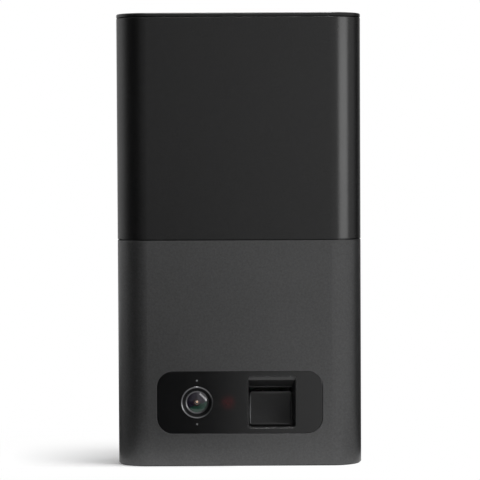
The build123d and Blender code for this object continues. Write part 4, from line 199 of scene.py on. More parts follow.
class PlasticSettings(bpy.types.PropertyGroup):
    """Moulded, rubber and small parts."""

    frame_colour: FloatVectorProperty(
        name="Port frame", description="Black moulding round the treat port",
        subtype="COLOR", size=3, min=0, max=1, default=(0.006, 0.006, 0.0063))
    flap_colour: FloatVectorProperty(
        name="Guard flap", description="Black moulding of the guard flap",
        subtype="COLOR", size=3, min=0, max=1, default=(0.005, 0.005, 0.0052))
    # The flap's pale left edge is a painted highlight; this sets how many times paler it is there
    flap_highlight: FloatProperty(
        name="Flap highlight", description="How many times paler the flap is where it is rubbed",
        min=1, max=100, default=60)
    panel_colour: FloatVectorProperty(
        name="Rear panel", description="Textured moulding of the rear panel and base plate",
        subtype="COLOR", size=3, min=0, max=1, default=(0.014, 0.014, 0.0148))
    rubber_colour: FloatVectorProperty(
        name="Rubber", description="Foot pad, gasket and bumper",
        subtype="COLOR", size=3, min=0, max=1, default=(0.012, 0.012, 0.012))
    housing_colour: FloatVectorProperty(
        name="Housings", description="Dark grey mouldings inside the casing",
        subtype="COLOR", size=3, min=0, max=1, default=(0.050, 0.052, 0.056))
    funnel_colour: FloatVectorProperty(
        name="Funnel", description="Mid grey food safe mouldings of the hopper",
        subtype="COLOR", size=3, min=0, max=1, default=(0.120, 0.122, 0.126))
    board_colour: FloatVectorProperty(
        name="Circuit boards", description="Green solder mask",
        subtype="COLOR", size=3, min=0, max=1, default=(0.010, 0.085, 0.040))
    cloth_threads: IntProperty(
        name="Grille threads", description="Threads across the speaker cloth",
        min=20, max=120, default=64)


class StudioSettings(bpy.types.PropertyGroup):
    """Floor, lamps and camera."""

    camera_distance: FloatProperty(
        name="Camera distance", description="From the front face to the camera",
        unit="LENGTH", min=0.3, max=5, default=1.35)
    camera_height: FloatProperty(
        name="Camera height", description="Height of the camera over the floor",
        unit="LENGTH", min=0, max=2, default=0.1849)
    camera_offset: FloatProperty(
        name="Camera offset", description="How far the camera stands to the right of the middle",
        unit="LENGTH", min=-1, max=1, default=0.00052)
    camera_pitch: FloatProperty(
        name="Camera pitch", description="How far the camera looks down",
        unit="ROTATION", min=-0.5, max=0.5, default=math.radians(2.15))
    camera_roll: FloatProperty(
        name="Camera roll", description="How far the camera leans",
        unit="ROTATION", min=-0.1, max=0.1, default=math.radians(0.28))
    focal_length: FloatProperty(
        name="Focal length", description="Lens of the camera, in millimetres",
        min=20, max=400, default=171.9)
    key_power: FloatProperty(
        name="Key softbox", description="Power of the tall softbox at the front right, in watts",
        min=0, max=100, default=5.3)
    strip_power: FloatProperty(
        name="Lens strip", description="Power of the narrow softbox that glints in the front glass, in watts",
        min=0, max=20, default=2.8)
    overhead_power: FloatProperty(
        name="Overhead softbox", description="Power of the softbox above, in watts",
        min=0, max=100, default=13.5)
    room_light: FloatProperty(
        name="Room light", description="Light that the white room gives from all round",
        min=0, max=2, default=0.25)
    paper_lift: FloatProperty(
        name="Paper lift", description="How far the floor's shadows are lifted towards white",
        min=0, max=1, default=0.18)


SETTINGS = {
    "pet_camera_casing": CasingSettings,
    "pet_camera_window": WindowSettings,
    "pet_camera_plastic": PlasticSettings,
    "pet_camera_studio": StudioSettings,
}


# ---------------------------------------------------------------- finishes
class Graph:
    """The node tree of a material or a world, filled in from nothing."""

    def __init__(self, owner):
        owner.use_nodes = True
        self.nodes = owner.node_tree.nodes
        self.links = owner.node_tree.links
        self.nodes.clear()

    def node(self, kind, sockets=None, **properties):
        """Makes a node with these properties, and links or writes its sockets."""
        made = self.nodes.new(f"ShaderNode{kind}")
        for name, value in properties.items():
            setattr(made, name, value)
        for name, value in (sockets or {}).items():
            self.put(made, name, value)
        return made

    def put(self, node, socket, value):
        """Links a node's output into a socket, or writes a plain value on it."""
        entry = node.inputs[socket]
        if isinstance(value, bpy.types.NodeSocket):
            self.links.new(value, entry)
        elif entry.type == "RGBA" and len(value) == 3:
            entry.default_value = (*value, 1)
        else:
            entry.default_value = value

    def math(self, operation, first, second=0.0, **properties):
        return self.node("Math", {0: first, 1: second}, operation=operation, **properties).outputs[0]

    def add(self, first, second):
        return self.math("ADD", first, second)

    def times(self, first, second):
        return self.math("MULTIPLY", first, second)

    def split(self, vector):
        return self.node("SeparateXYZ", {0: vector}).outputs

    def object_place(self):
        return self.node("TexCoord").outputs["Object"]

    def remap(self, value, low, high, to_low=0.0, to_high=1.0, smooth=False):
        return self.node("MapRange", {"Value": value, "From Min": low, "From Max": high,
                                      "To Min": to_low, "To Max": to_high},
                         interpolation_type="SMOOTHSTEP" if smooth else "LINEAR").outputs["Result"]


class Finish(Graph):
    """One material, built outwards from its shader."""

    def __init__(self, name, colour, roughness, **sockets):
        self.material = bpy.data.materials.new(name)
        super().__init__(self.material)
        self.shader = self.node("BsdfPrincipled")
        self.node("OutputMaterial", {"Surface": self.shader.outputs["BSDF"]})
        self.place = self.object_place()
        self.finish(base_color=colour, roughness=roughness, **sockets)

    def finish(self, **sockets):
        """Links or writes the shader's sockets and gives the material."""
        for socket, value in sockets.items():
            self.put(self.shader, socket.replace("_", " ").title().replace("Ior", "IOR"), value)
        return self.material

    def vector(self, operation, first, second=(0, 0, 0)):
        made = self.node("VectorMath", {0: first, 1: second}, operation=operation)
        return made.outputs["Value" if operation == "DOT_PRODUCT" else "Vector"]

    def from_axis(self, centre):
        """Each point's place from a centre as (x, y, z), and its distance from the centre's line along Y."""
        across = self.split(self.vector("SUBTRACT", self.place, tuple(centre)))
        squares = [self.math("POWER", across[index], 2.0) for index in (0, 2)]
        return across, self.math("SQRT", self.add(*squares))

    def stretched(self, stretch):
        """The place on the part, stretched along each axis."""
        return self.vector("MULTIPLY", self.place, stretch)

    def noise(self, size, detail=2.0, roughness=0.5, place=None):
        """Cloudy pattern whose clouds are about that size, from 0 to 1."""
        return self.node("TexNoise", {"Vector": place or self.place, "Scale": 1 / size,
                                      "Detail": detail, "Roughness": roughness}).outputs["Fac"]

    def cells(self, size, place=None, output="Distance", **properties):
        """Distance from the nearest of many points scattered about that far apart, or its colour."""
        return self.node("TexVoronoi", {"Vector": place or self.place, "Scale": 1 / size},
                         **properties).outputs[output]

    def waves(self, pitch, axis, distortion=0.0):
        """Parallel ridges that far apart, from 0 to 1."""
        return self.node("TexWave", {"Vector": self.place, "Scale": math.pi / (10 * pitch),
                                     "Distortion": distortion},
                         wave_type="BANDS", bands_direction=axis).outputs["Fac"]

    def spread(self, noise, low=0.0, high=1.0):
        """A noise pattern spread from one number to another."""
        return self.remap(noise, NOISE_LOW, NOISE_HIGH, low, high)

    def mix(self, factor, first, second):
        """From one colour to another."""
        return self.node("Mix", {"Factor": factor, 6: first, 7: second}, data_type="RGBA").outputs[2]

    def edges(self, radius):
        """Near 1 on edges sharper than that radius, and 0 elsewhere; also the rounded normal."""
        rounded = self.node("Bevel", {"Radius": radius}, samples=6).outputs["Normal"]
        flat = self.node("NewGeometry").outputs["Normal"]
        return self.remap(self.vector("DOT_PRODUCT", rounded, flat), 0.99, 0.80), rounded

    def relief(self, height, depth, normal=None):
        """Raises the surface by the height pattern, that deep from 0 to 1."""
        bump = self.node("Bump", {"Strength": 1.0, "Distance": depth, "Height": height})
        if normal is not None:
            self.put(bump, "Normal", normal)
        return bump.outputs["Normal"]


def shade(colour, factor):
    """A lighter or darker version of a colour."""
    return tuple(min(1.0, channel * factor) for channel in colour[:3])


def blasted_metal(name, colour, grain, roughness, wear):
    """Bead blasted and anodised aluminium: a fine frosted grain, paler where edges are handled."""
    f = Finish(name, colour, roughness, metallic=0.85, specular_ior_level=0.5)
    frost = f.noise(grain, 3.0, 0.62)
    fleck = f.cells(grain * 0.8)
    cloud = f.noise(0.035, 2.0, 0.5)
    edge, rounded = f.edges(0.35 * MM)
    tone = f.add(f.spread(frost, -0.14, 0.14), f.remap(fleck, 0.0, 0.9, 0.07, -0.07))
    tone = f.add(tone, f.spread(cloud, -0.03, 0.03))
    base = f.mix(f.add(0.5, tone), shade(colour, 0.55), shade(colour, 1.45))
    paled_edge = f.times(edge, f.remap(f.noise(4 * MM, 3.0), 0.35, 0.65, wear * 0.4, wear))
    height = f.add(frost, f.times(fleck, 0.5))
    return f.finish(
        base_color=f.mix(paled_edge, base, shade(colour, 5.0)),
        roughness=f.spread(f.math("SUBTRACT", frost, f.times(paled_edge, 0.4)), roughness - 0.05, roughness + 0.05),
        normal=f.relief(height, 0.02 * MM, rounded))


def satin_black(name, colour, roughness, peel=0.010, gloss=0.42):
    """Painted satin black: faint orange peel, a hair of dust and softly rounded edges."""
    f = Finish(name, colour, roughness, specular_ior_level=gloss)
    peel_wave = f.noise(2.2 * MM, 1.5, 0.4)
    mist = f.noise(0.28 * MM, 2.0, 0.6)
    cloud = f.noise(0.05, 3.0, 0.55)
    dust = f.remap(f.cells(3.1 * MM), 0.035, 0.02)
    edge, rounded = f.edges(0.3 * MM)
    base = f.mix(f.spread(mist), shade(colour, 0.8), shade(colour, 1.25))
    base = f.mix(f.times(dust, 0.10), base, (0.20, 0.19, 0.18))
    base = f.mix(f.times(edge, 0.25), base, shade(colour, 3.0))
    grip = f.add(f.spread(cloud, -0.025, 0.025), f.spread(mist, -0.02, 0.02))
    height = f.add(peel_wave, f.times(mist, 0.12))
    return f.finish(base_color=base, roughness=f.add(grip, roughness),
                    normal=f.relief(height, peel * MM, rounded))


def left_highlight_black(name, colour, paling, node):
    """Gloss black moulding with a painted highlight along its left edge, stronger towards the foot."""
    f = Finish(name, colour, 0.18, specular_ior_level=0.32)
    low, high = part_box(node)
    axes = f.split(f.place)
    peel_wave = f.noise(2.2 * MM, 1.5, 0.4)
    mist = f.noise(0.28 * MM, 2.0, 0.6)
    _, rounded = f.edges(0.3 * MM)
    base = f.mix(f.spread(mist), shade(colour, 0.8), shade(colour, 1.25))
    # Painted highlight: a pale band along the left edge, fading out towards the top
    rim = f.remap(axes[0], low.x + HIGHLIGHT_END, low.x + HIGHLIGHT_FULL, smooth=True)
    fall = f.remap(axes[2], high.z - HIGHLIGHT_START, high.z - HIGHLIGHT_WHOLE)
    paled_edge = f.times(f.times(rim, fall), f.spread(f.noise(3 * MM), 0.85, 1.0))
    grip = f.add(f.spread(mist, 0.16, 0.20), f.times(paled_edge, 0.3))
    return f.finish(base_color=f.mix(paled_edge, base, shade(colour, paling)), roughness=grip,
                    normal=f.relief(peel_wave, 0.004 * MM, rounded))


def gloss_window(name, colour, roughness, glow):
    """Smoked acrylic: nearly clear gloss, faint wipe marks, a deep red spot over the emitter."""
    f = Finish(name, colour, roughness, specular_ior_level=0.5)
    wipes = f.noise(9 * MM, 4.0, 0.6, f.stretched((1.0, 1.0, 3.0)))
    haze = f.noise(0.02, 2.0)
    dust = f.remap(f.cells(2.6 * MM), 0.05, 0.02)
    edge, rounded = f.edges(0.25 * MM)
    _, radius = f.from_axis(EMITTER_CENTRE)
    spot = f.remap(radius, 6.0 * MM, 0.8 * MM, 0.0, 1.0, smooth=True)
    mottle = f.remap(f.noise(1.6 * MM, 2.0), 0.25, 0.75, 0.65, 1.0)
    base = f.mix(f.times(spot, mottle), colour, glow)
    base = f.mix(f.times(dust, 0.12), base, (0.22, 0.21, 0.20))
    base = f.mix(f.times(edge, 0.4), base, (0.05, 0.05, 0.052))
    sheen = f.add(f.remap(wipes, 0.35, 0.7, -0.02, 0.035), f.spread(haze, -0.01, 0.01))
    return f.finish(base_color=base, roughness=f.add(sheen, roughness),
                    normal=f.relief(wipes, 0.002 * MM, rounded))


def moulded(name, colour, roughness, grain, depth=0.03, edge_tone=1.8):
    """Spark textured moulding: leathery grain, paler rubbed edges, slow tone changes."""
    f = Finish(name, colour, roughness, specular_ior_level=0.45)
    pits = f.cells(grain)
    frost = f.noise(grain * 0.7, 3.0, 0.6)
    cloud = f.noise(0.03, 3.0, 0.5)
    edge, rounded = f.edges(0.25 * MM)
    base = f.mix(f.spread(frost), shade(colour, 0.82), shade(colour, 1.2))
    base = f.mix(f.spread(cloud, 0.0, 0.3), base, shade(colour, 1.15))
    paling = f.times(edge, f.spread(f.noise(3 * MM, 3.0), 0.2, 0.7))
    base = f.mix(paling, base, shade(colour, edge_tone))
    height = f.add(f.times(pits, 0.6), frost)
    rough = f.math("SUBTRACT", f.spread(frost, roughness - 0.06, roughness + 0.06), f.times(paling, 0.12))
    return f.finish(base_color=base, roughness=rough, normal=f.relief(height, depth * MM, rounded))


def rubber(name, colour):
    """Matt moulded rubber: chalky bloom, tiny pits and fine lint."""
    f = Finish(name, colour, 0.78, specular_ior_level=0.35, sheen_weight=0.08, sheen_roughness=0.5)
    bloom = f.noise(6 * MM, 4.0, 0.6)
    pits = f.cells(0.5 * MM)
    lint = f.remap(f.noise(0.9 * MM, 2.0, 0.5, f.stretched((0.3, 1.0, 2.5))), 0.68, 0.74)
    base = f.mix(f.remap(bloom, 0.35, 0.7), shade(colour, 0.8), shade(colour, 1.7))
    base = f.mix(f.times(lint, 0.2), base, (0.10, 0.10, 0.10))
    _, rounded = f.edges(0.2 * MM)
    return f.finish(base_color=base, roughness=f.spread(bloom, 0.70, 0.86),
                    normal=f.relief(f.add(pits, bloom), 0.03 * MM, rounded))


def soft_silicone(name, colour):
    """Food safe silicone: milky, slightly tacky, with a dusty bloom."""
    f = Finish(name, colour, 0.42, specular_ior_level=0.5, subsurface_weight=0.25, subsurface_scale=0.003)
    bloom = f.noise(5 * MM, 4.0, 0.6)
    fine = f.noise(0.4 * MM, 2.0)
    base = f.mix(f.remap(bloom, 0.35, 0.7), shade(colour, 0.9), shade(colour, 1.12))
    _, rounded = f.edges(0.2 * MM)
    return f.finish(base_color=base, roughness=f.spread(bloom, 0.36, 0.52),
                    normal=f.relief(fine, 0.012 * MM, rounded))


def turned_metal(name, colour, roughness, pitch, stretch=(1, 1, 1), wear=0.5, axis="X"):
    """Machined metal with fine tool lines, scuffs and brighter edges."""
    f = Finish(name, colour, roughness, metallic=1.0)
    lines = f.waves(pitch, axis, 1.2)
    streaks = f.noise(0.8 * MM, 4.0, 0.65, f.stretched(stretch))
    scuff = f.noise(3 * MM, 4.0, 0.6)
    edge, rounded = f.edges(0.2 * MM)
    base = f.mix(f.spread(streaks), shade(colour, 0.78), shade(colour, 1.15))
    base = f.mix(f.times(edge, wear), base, shade(colour, 1.6))
    height = f.add(f.times(lines, 0.5), streaks)
    return f.finish(base_color=base,
                    roughness=f.remap(f.add(scuff, f.times(lines, 0.2)), 0.35, 0.9,
                                      max(0.05, roughness - 0.08), roughness + 0.12),
                    normal=f.relief(height, 0.006 * MM, rounded))


def camera_ring(name, colour, centre, lip_radius):
    """Turned camera ring: a bright machined lip and a dark dish with fine rings."""
    f = Finish(name, colour, 0.3, metallic=1.0)
    _, radius = f.from_axis(centre)
    rings = f.math("SINE", f.times(radius, 2 * math.pi / (0.22 * MM)))
    fine = f.noise(0.35 * MM, 3.0)
    lip = f.remap(radius, lip_radius - 0.05 * MM, lip_radius + 0.05 * MM)
    _, rounded = f.edges(0.12 * MM)
    dark = f.mix(f.remap(rings, -1.0, 1.0), shade(colour, 0.055), shade(colour, 0.10))
    base = f.mix(lip, dark, f.mix(f.spread(fine), shade(colour, 0.85), shade(colour, 1.2)))
    return f.finish(base_color=base, roughness=f.remap(lip, 0.0, 1.0, 0.50, 0.28),
                    normal=f.relief(f.add(rings, fine), 0.006 * MM, rounded))


def painted_coating_reflection(f, centre, violet, green):
    """Painted reflections of the coating, violet above and green below, and how far each point is from the
    axis.
    """
    across, radius = f.from_axis(centre)
    lean = f.add(f.times(across[0], -0.35), across[2])
    swirl = f.add(lean, f.spread(f.noise(1.5 * MM, 2.0), -0.4 * MM, 0.4 * MM))
    return f.mix(f.remap(swirl, -2.4 * MM, -0.8 * MM, smooth=True), green, violet), radius


def coated_glass(name, centre, violet, green, stop):
    """Front glass: coated dark, with the coating's reflections painted in, a brown stop round a small clear
    middle and faint cleaning marks.
    """
    f = Finish(name, violet, 0.1, ior=1.52)
    cast, radius = painted_coating_reflection(f, centre, violet, green)
    wipes = f.noise(1.6 * MM, 3.0)
    base = f.mix(f.remap(radius, stop, 0.8 * stop, smooth=True), cast, (0.022, 0.008, 0.006))
    clear = f.remap(radius, 0.6 * stop, 0.45 * stop, smooth=True)
    return f.finish(base_color=f.mix(clear, base, (0.95, 0.97, 0.98)), transmission_weight=clear,
                    roughness=f.spread(wipes, 0.07, 0.12))


def coated_element(name, centre, violet, green, reach):
    """Inner lens group: dark glass with the coating's reflections painted in and a brown stop round its
    middle.
    """
    f = Finish(name, violet, 0.3, specular_ior_level=0.15)
    cast, radius = painted_coating_reflection(f, centre, violet, green)
    rings = f.math("SINE", f.times(radius, 2 * math.pi / (0.9 * MM)))
    depth = f.times(f.remap(radius, reach, 0.6 * reach, 0.5, 1.0, smooth=True),
                    f.remap(rings, -1.0, 1.0, 0.65, 1.0))
    base = f.mix(depth, (0.004, 0.004, 0.006), cast)
    stop = f.remap(radius, 1.3 * MM, 1.0 * MM, smooth=True)
    base = f.mix(stop, base, (0.050, 0.010, 0.006))
    return f.finish(base_color=base, roughness=f.remap(rings, -1.0, 1.0, 0.25, 0.4))


def painted_pupil_glint(name):
    """Warm point deep in the lens that glows by emission: a painted glint, nearly white in the middle."""
    f = Finish(name, (0.9, 0.55, 0.3), 0.25, metallic=0.8, emission_strength=0.35)
    flare = f.noise(0.25 * MM, 2.0)
    tone = f.mix(f.spread(flare), (0.75, 0.30, 0.10), (1.0, 0.82, 0.62))
    return f.finish(base_color=tone, emission_color=tone, roughness=f.spread(flare, 0.2, 0.35))


def red_emitter(name):
    """Dark red epoxy dome of the infrared emitter."""
    f = Finish(name, (0.05, 0.004, 0.004), 0.12, specular_ior_level=0.6, coat_weight=0.5)
    swirl = f.noise(1.2 * MM, 3.0)
    return f.finish(base_color=f.mix(f.spread(swirl), (0.035, 0.003, 0.003), (0.09, 0.008, 0.007)),
                    roughness=f.spread(swirl, 0.08, 0.18))


def circuit_board(name, colour):
    """Solder mask over copper: straight tracks, plated holes and a faint weave."""
    f = Finish(name, colour, 0.32, specular_ior_level=0.55, coat_weight=0.3, coat_roughness=0.15)
    axes = f.split(f.place)
    blocks = f.cells(9 * MM, f.stretched((1, 0, 1)), "Color", distance="CHEBYCHEV")
    pick = f.remap(f.split(blocks)[0], 0.49, 0.51)
    along_x = f.math("PINGPONG", axes[0], 0.45 * MM)
    along_z = f.math("PINGPONG", axes[2], 0.45 * MM)
    line = f.add(f.times(pick, along_x), f.times(f.math("SUBTRACT", 1.0, pick), along_z))
    track = f.remap(line, 0.16 * MM, 0.20 * MM, 1.0, 0.0)
    used = f.remap(f.noise(7 * MM, 1.0), 0.48, 0.50)
    track = f.times(track, used)
    via = f.remap(f.cells(3.4 * MM, place=f.stretched((1, 0, 1))), 0.12, 0.10)
    weave = f.times(f.waves(0.6 * MM, "X"), f.waves(0.6 * MM, "Z"))
    base = f.mix(track, shade(colour, 0.7), shade(colour, 1.5))
    base = f.mix(via, base, (0.62, 0.58, 0.45))
    return f.finish(base_color=base, metallic=f.times(via, 0.9),
                    roughness=f.remap(weave, 0.0, 1.0, 0.28, 0.38),
                    normal=f.relief(f.add(track, f.times(weave, 0.25)), 0.035 * MM))


def chip_black(name):
    """Moulded packages: sandy black epoxy with a slightly polished top."""
    f = Finish(name, (0.018, 0.018, 0.019), 0.5, specular_ior_level=0.45)
    sand = f.noise(0.25 * MM, 3.0, 0.7)
    swirl = f.noise(3 * MM, 3.0)
    edge, rounded = f.edges(0.15 * MM)
    base = f.mix(f.spread(sand), (0.013, 0.013, 0.014), (0.027, 0.027, 0.028))
    base = f.mix(f.times(edge, 0.5), base, (0.08, 0.08, 0.08))
    return f.finish(base_color=base, roughness=f.spread(swirl, 0.42, 0.6),
                    normal=f.relief(sand, 0.02 * MM, rounded))


def ribbon_foil(name):
    """Flat cable: white film over parallel conductors."""
    f = Finish(name, (0.8, 0.8, 0.78), 0.35, specular_ior_level=0.5)
    axes = f.split(f.place)
    strands = f.remap(f.math("PINGPONG", axes[0], 0.25 * MM), 0.08 * MM, 0.14 * MM)
    haze = f.noise(3 * MM, 3.0)
    base = f.mix(strands, (0.58, 0.57, 0.55), (0.82, 0.82, 0.80))
    base = f.mix(f.remap(haze, 0.3, 0.8, 0.0, 0.25), base, (0.70, 0.69, 0.64))
    return f.finish(base_color=base, roughness=f.spread(haze, 0.28, 0.42),
                    normal=f.relief(strands, 0.03 * MM))


def moulded_acetal(name, colour):
    """Acetal gears and hubs: waxy off white with flow marks and a little grease."""
    f = Finish(name, colour, 0.38, specular_ior_level=0.5, subsurface_weight=0.15, subsurface_scale=0.002)
    flow = f.noise(6 * MM, 4.0, 0.6, f.stretched((0.6, 1.0, 1.0)))
    fine = f.noise(0.5 * MM, 2.0)
    grease = f.remap(f.noise(4 * MM, 3.0), 0.55, 0.65)
    base = f.mix(f.spread(flow), shade(colour, 0.88), shade(colour, 1.06))
    base = f.mix(f.times(grease, 0.25), base, (0.55, 0.50, 0.36))
    _, rounded = f.edges(0.2 * MM)
    return f.finish(base_color=base, roughness=f.remap(grease, 0.0, 1.0, 0.42, 0.16),
                    normal=f.relief(fine, 0.01 * MM, rounded))


def woven_cloth(name, threads, width, centre):
    """Acoustic cloth: a plain weave of fine black threads."""
    f = Finish(name, (0.02, 0.02, 0.02), 0.85, specular_ior_level=0.3, sheen_weight=0.3, sheen_roughness=0.4)
    pitch = width / threads
    place = f.vector("SUBTRACT", f.place, tuple(centre))
    axes = f.split(place)
    warp = f.math("SINE", f.times(axes[0], math.pi / pitch))
    weft = f.math("SINE", f.times(axes[2], math.pi / pitch))
    over = f.times(warp, weft)
    lint = f.noise(0.4 * MM, 3.0)
    base = f.mix(f.remap(over, -0.6, 0.6), (0.006, 0.006, 0.006), (0.045, 0.045, 0.046))
    base = f.mix(f.remap(lint, 0.6, 0.8, 0.0, 0.3), base, (0.08, 0.08, 0.08))
    return f.finish(base_color=base, normal=f.relief(over, 0.08 * MM))


# ---------------------------------------------------------------- making pieces
def dress(material, *names):
    """Gives CAD parts their finish."""
    for name in names:
        slots = NODES[name].material_slots
        if not slots:
            NODES[name].data.materials.append(material)
        for entry in slots:
            entry.material = material


def piece_from(form, name, material, body):
    """Turns a bmesh into a smooth piece that rides on a body and takes a slot's finish."""
    mesh = bpy.data.meshes.new(name)
    bmesh.ops.recalc_face_normals(form, faces=form.faces)
    form.to_mesh(mesh)
    form.free()
    for polygon in mesh.polygons:
        polygon.use_smooth = True
    piece = bpy.data.objects.new(name, mesh)
    bpy.context.scene.collection.objects.link(piece)
    mesh.materials.append(material)
    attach(piece, body)
    return piece


def turned(form, profile, centre, steps):
    """Turns a profile of (radius, y) points round an axis along Y through the centre."""
    rings = []
    for radius, y in profile:
        if not radius:
            rings.append([form.verts.new((centre.x, y, centre.z))])
            continue
        rings.append([
            form.verts.new((centre.x + radius * math.cos(2 * math.pi * step / steps), y,
                            centre.z + radius * math.sin(2 * math.pi * step / steps)))
            for step in range(steps)
        ])
    for first, second in zip(rings, rings[1:]):
        for step in range(steps):
            following = (step + 1) % steps
            corners = [first[step % len(first)], first[following % len(first)],
                       second[following % len(second)], second[step % len(second)]]
            unique = list(dict.fromkeys(corners))
            if len(unique) > 2:
                form.faces.new(unique)
    return rings


def dome(radius, rise, rim_y, steps):
    """Points (radius, y) of a shallow dome from its rim to its crown, which bulges forwards."""
    ball = (radius ** 2 + rise ** 2) / (2 * rise)
    points = []
    for step in range(steps + 1):
        reach = radius * (1 - step / steps)
        height = math.sqrt(ball ** 2 - reach ** 2) - (ball - rise)
        points.append((reach, rim_y - height))
    return points


def settings(name):
    """One group of the scene's settings."""
    return getattr(bpy.context.scene, name)


class PETCAMERA_OT_shell(bpy.types.Operator):
    """Finish the bead blasted lower shell"""

    bl_idname = "pet_camera.shell"
    bl_label = "Lower shell"
    bl_options = {"REGISTER", "UNDO"}

    def execute(self, context):
        s = settings("pet_camera_casing")
        dress(blasted_metal("anodised_shell", s.shell_colour, s.shell_grain, s.shell_roughness, s.edge_wear),
              "body_shell")
        return {"FINISHED"}


class PETCAMERA_OT_hopper(bpy.types.Operator):
    """Finish the satin black hopper, lid and lid button"""

    bl_idname = "pet_camera.hopper"
    bl_label = "Hopper and lid"
    bl_options = {"REGISTER", "UNDO"}

    def execute(self, context):
        s = settings("pet_camera_casing")
        dress(satin_black("hopper_black", s.hopper_colour, s.hopper_roughness), "hopper_shell", "lid")
        dress(satin_black("button_black", shade(s.hopper_colour, 1.2), s.hopper_roughness + 0.08),
              "lid_button")
        return {"FINISHED"}


class PETCAMERA_OT_hopper_inside(bpy.types.Operator):
    """Finish the funnel, lid liner, latch cover and seals"""

    bl_idname = "pet_camera.hopper_inside"
    bl_label = "Hopper inside"
    bl_options = {"REGISTER", "UNDO"}

    def execute(self, context):
        s = settings("pet_camera_plastic")
        dress(moulded("funnel_grey", s.funnel_colour, 0.48, grain=0.6 * MM, depth=0.02, edge_tone=1.35),
              "hopper_funnel", "lid_liner", "latch_cover")
        dress(soft_silicone("silicone", SILICONE), "lid_seal", "throat_seal", "feeder_vanes")
        return {"FINISHED"}


class PETCAMERA_OT_window(bpy.types.Operator):
    """Finish the smoked window and set the microphone meshes in its holes"""

    bl_idname = "pet_camera.window"
    bl_label = "Front window"
    bl_options = {"REGISTER", "UNDO"}

    def execute(self, context):
        s = settings("pet_camera_window")
        dress(gloss_window("window_black", s.window_colour, s.window_roughness, s.emitter_glow),
              "front_window")
        dress(red_emitter("emitter_lens"), "ir_emitter")
        mesh_metal = turned_metal("microphone_metal", STEEL, 0.5, pitch=0.12 * MM)
        front_y = WINDOW_FRONT_Y + MESH_SETBACK
        profile = [(s.mesh_radius, front_y + MESH_DEPTH)]
        profile += dome(s.mesh_radius, MESH_RISE, front_y + MESH_RISE, steps=6)
        form = bmesh.new()
        low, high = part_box("microphones")
        boot_radius = (high.x - low.x) / 2
        for z in (low.z + boot_radius, high.z - boot_radius):
            turned(form, profile, Vector((LENS_CENTRE.x, 0, z)), steps=24)
        piece_from(form, "microphone_mesh", mesh_metal, "housing")
        return {"FINISHED"}


class PETCAMERA_OT_camera_unit(bpy.types.Operator):
    """Finish the camera's rings and build the glass inside its barrel"""

    bl_idname = "pet_camera.camera_unit"
    bl_label = "Camera"
    bl_options = {"REGISTER", "UNDO"}

    def execute(self, context):
        s = settings("pet_camera_window")
        dress(camera_ring("bezel_metal", s.ring_colour, LENS_CENTRE, BEZEL_LIP), "lens_bezel")
        dress(camera_ring("ring_metal", s.ring_colour, LENS_CENTRE, RING_LIP), "lens_ring")
        self.make_front_element(s)
        dress(moulded("barrel_black", BARREL_BLACK, 0.6, grain=0.3 * MM, depth=0.02),
              "lens_barrel", "camera_holder")
        element = coated_element("inner_element", LENS_CENTRE, s.violet_coating_reflection, s.green_coating_reflection,
                                 ELEMENT_REACH)
        seat_y = LENS_HIGH.y
        self.make_disc("inner_lens", element, s.element_radius, seat_y + ELEMENT_BACK,
                       dome(s.element_radius, ELEMENT_RISE, seat_y + ELEMENT_SEAT, steps=12), steps=72)
        # Painted glint: the warm point glows by emission
        pupil_y = seat_y + PUPIL_SEAT
        self.make_disc("lens_pupil", painted_pupil_glint("painted_pupil_glint"), s.pupil_radius, pupil_y + PUPIL_RISE,
                       dome(s.pupil_radius, PUPIL_RISE, pupil_y, steps=5), steps=32)
        return {"FINISHED"}

    def make_disc(self, name, finish, radius, back_y, front, steps):
        """A round piece behind the front glass, with a flat back and a domed front."""
        form = bmesh.new()
        turned(form, [(0, back_y), (radius, back_y)] + front, LENS_CENTRE, steps)
        piece_from(form, name, finish, "housing")

    def make_front_element(self, s):
        """The front glass with true curves: domed in front, hollow behind."""
        form = bmesh.new()
        front = dome(LENS_RADIUS, s.lens_dome, LENS_LOW.y + s.lens_dome, steps=28)
        back = dome(LENS_RADIUS * LENS_HOLLOW, s.lens_dome, LENS_HIGH.y, steps=20)
        rings = turned(form, front[::-1] + [(LENS_RADIUS, LENS_HIGH.y)] + back, LENS_CENTRE, steps=128)
        rims = rings[len(front) - 1:len(front) + 2]
        for ring in rims:
            for first, second in zip(ring, ring[1:] + ring[:1]):
                form.edges.get((first, second)).smooth = False
        finish = coated_glass("lens_glass", LENS_CENTRE, s.violet_coating_reflection, s.green_coating_reflection, GLASS_STOP)
        glass = piece_from(form, "front_element", finish, "housing")
        glass.visible_shadow = False
        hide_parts("lens_glass")


class PETCAMERA_OT_port(bpy.types.Operator):
    """Finish the treat port's frame and its guard flap"""

    bl_idname = "pet_camera.port"
    bl_label = "Treat port"
    bl_options = {"REGISTER", "UNDO"}

    def execute(self, context):
        s = settings("pet_camera_plastic")
        dress(satin_black("frame_black", s.frame_colour, 0.36, peel=0.006, gloss=0.62),
              "port_frame", "reset_button")
        dress(left_highlight_black("flap_black", s.flap_colour, s.flap_highlight, "guard_flap"), "guard_flap")
        return {"FINISHED"}


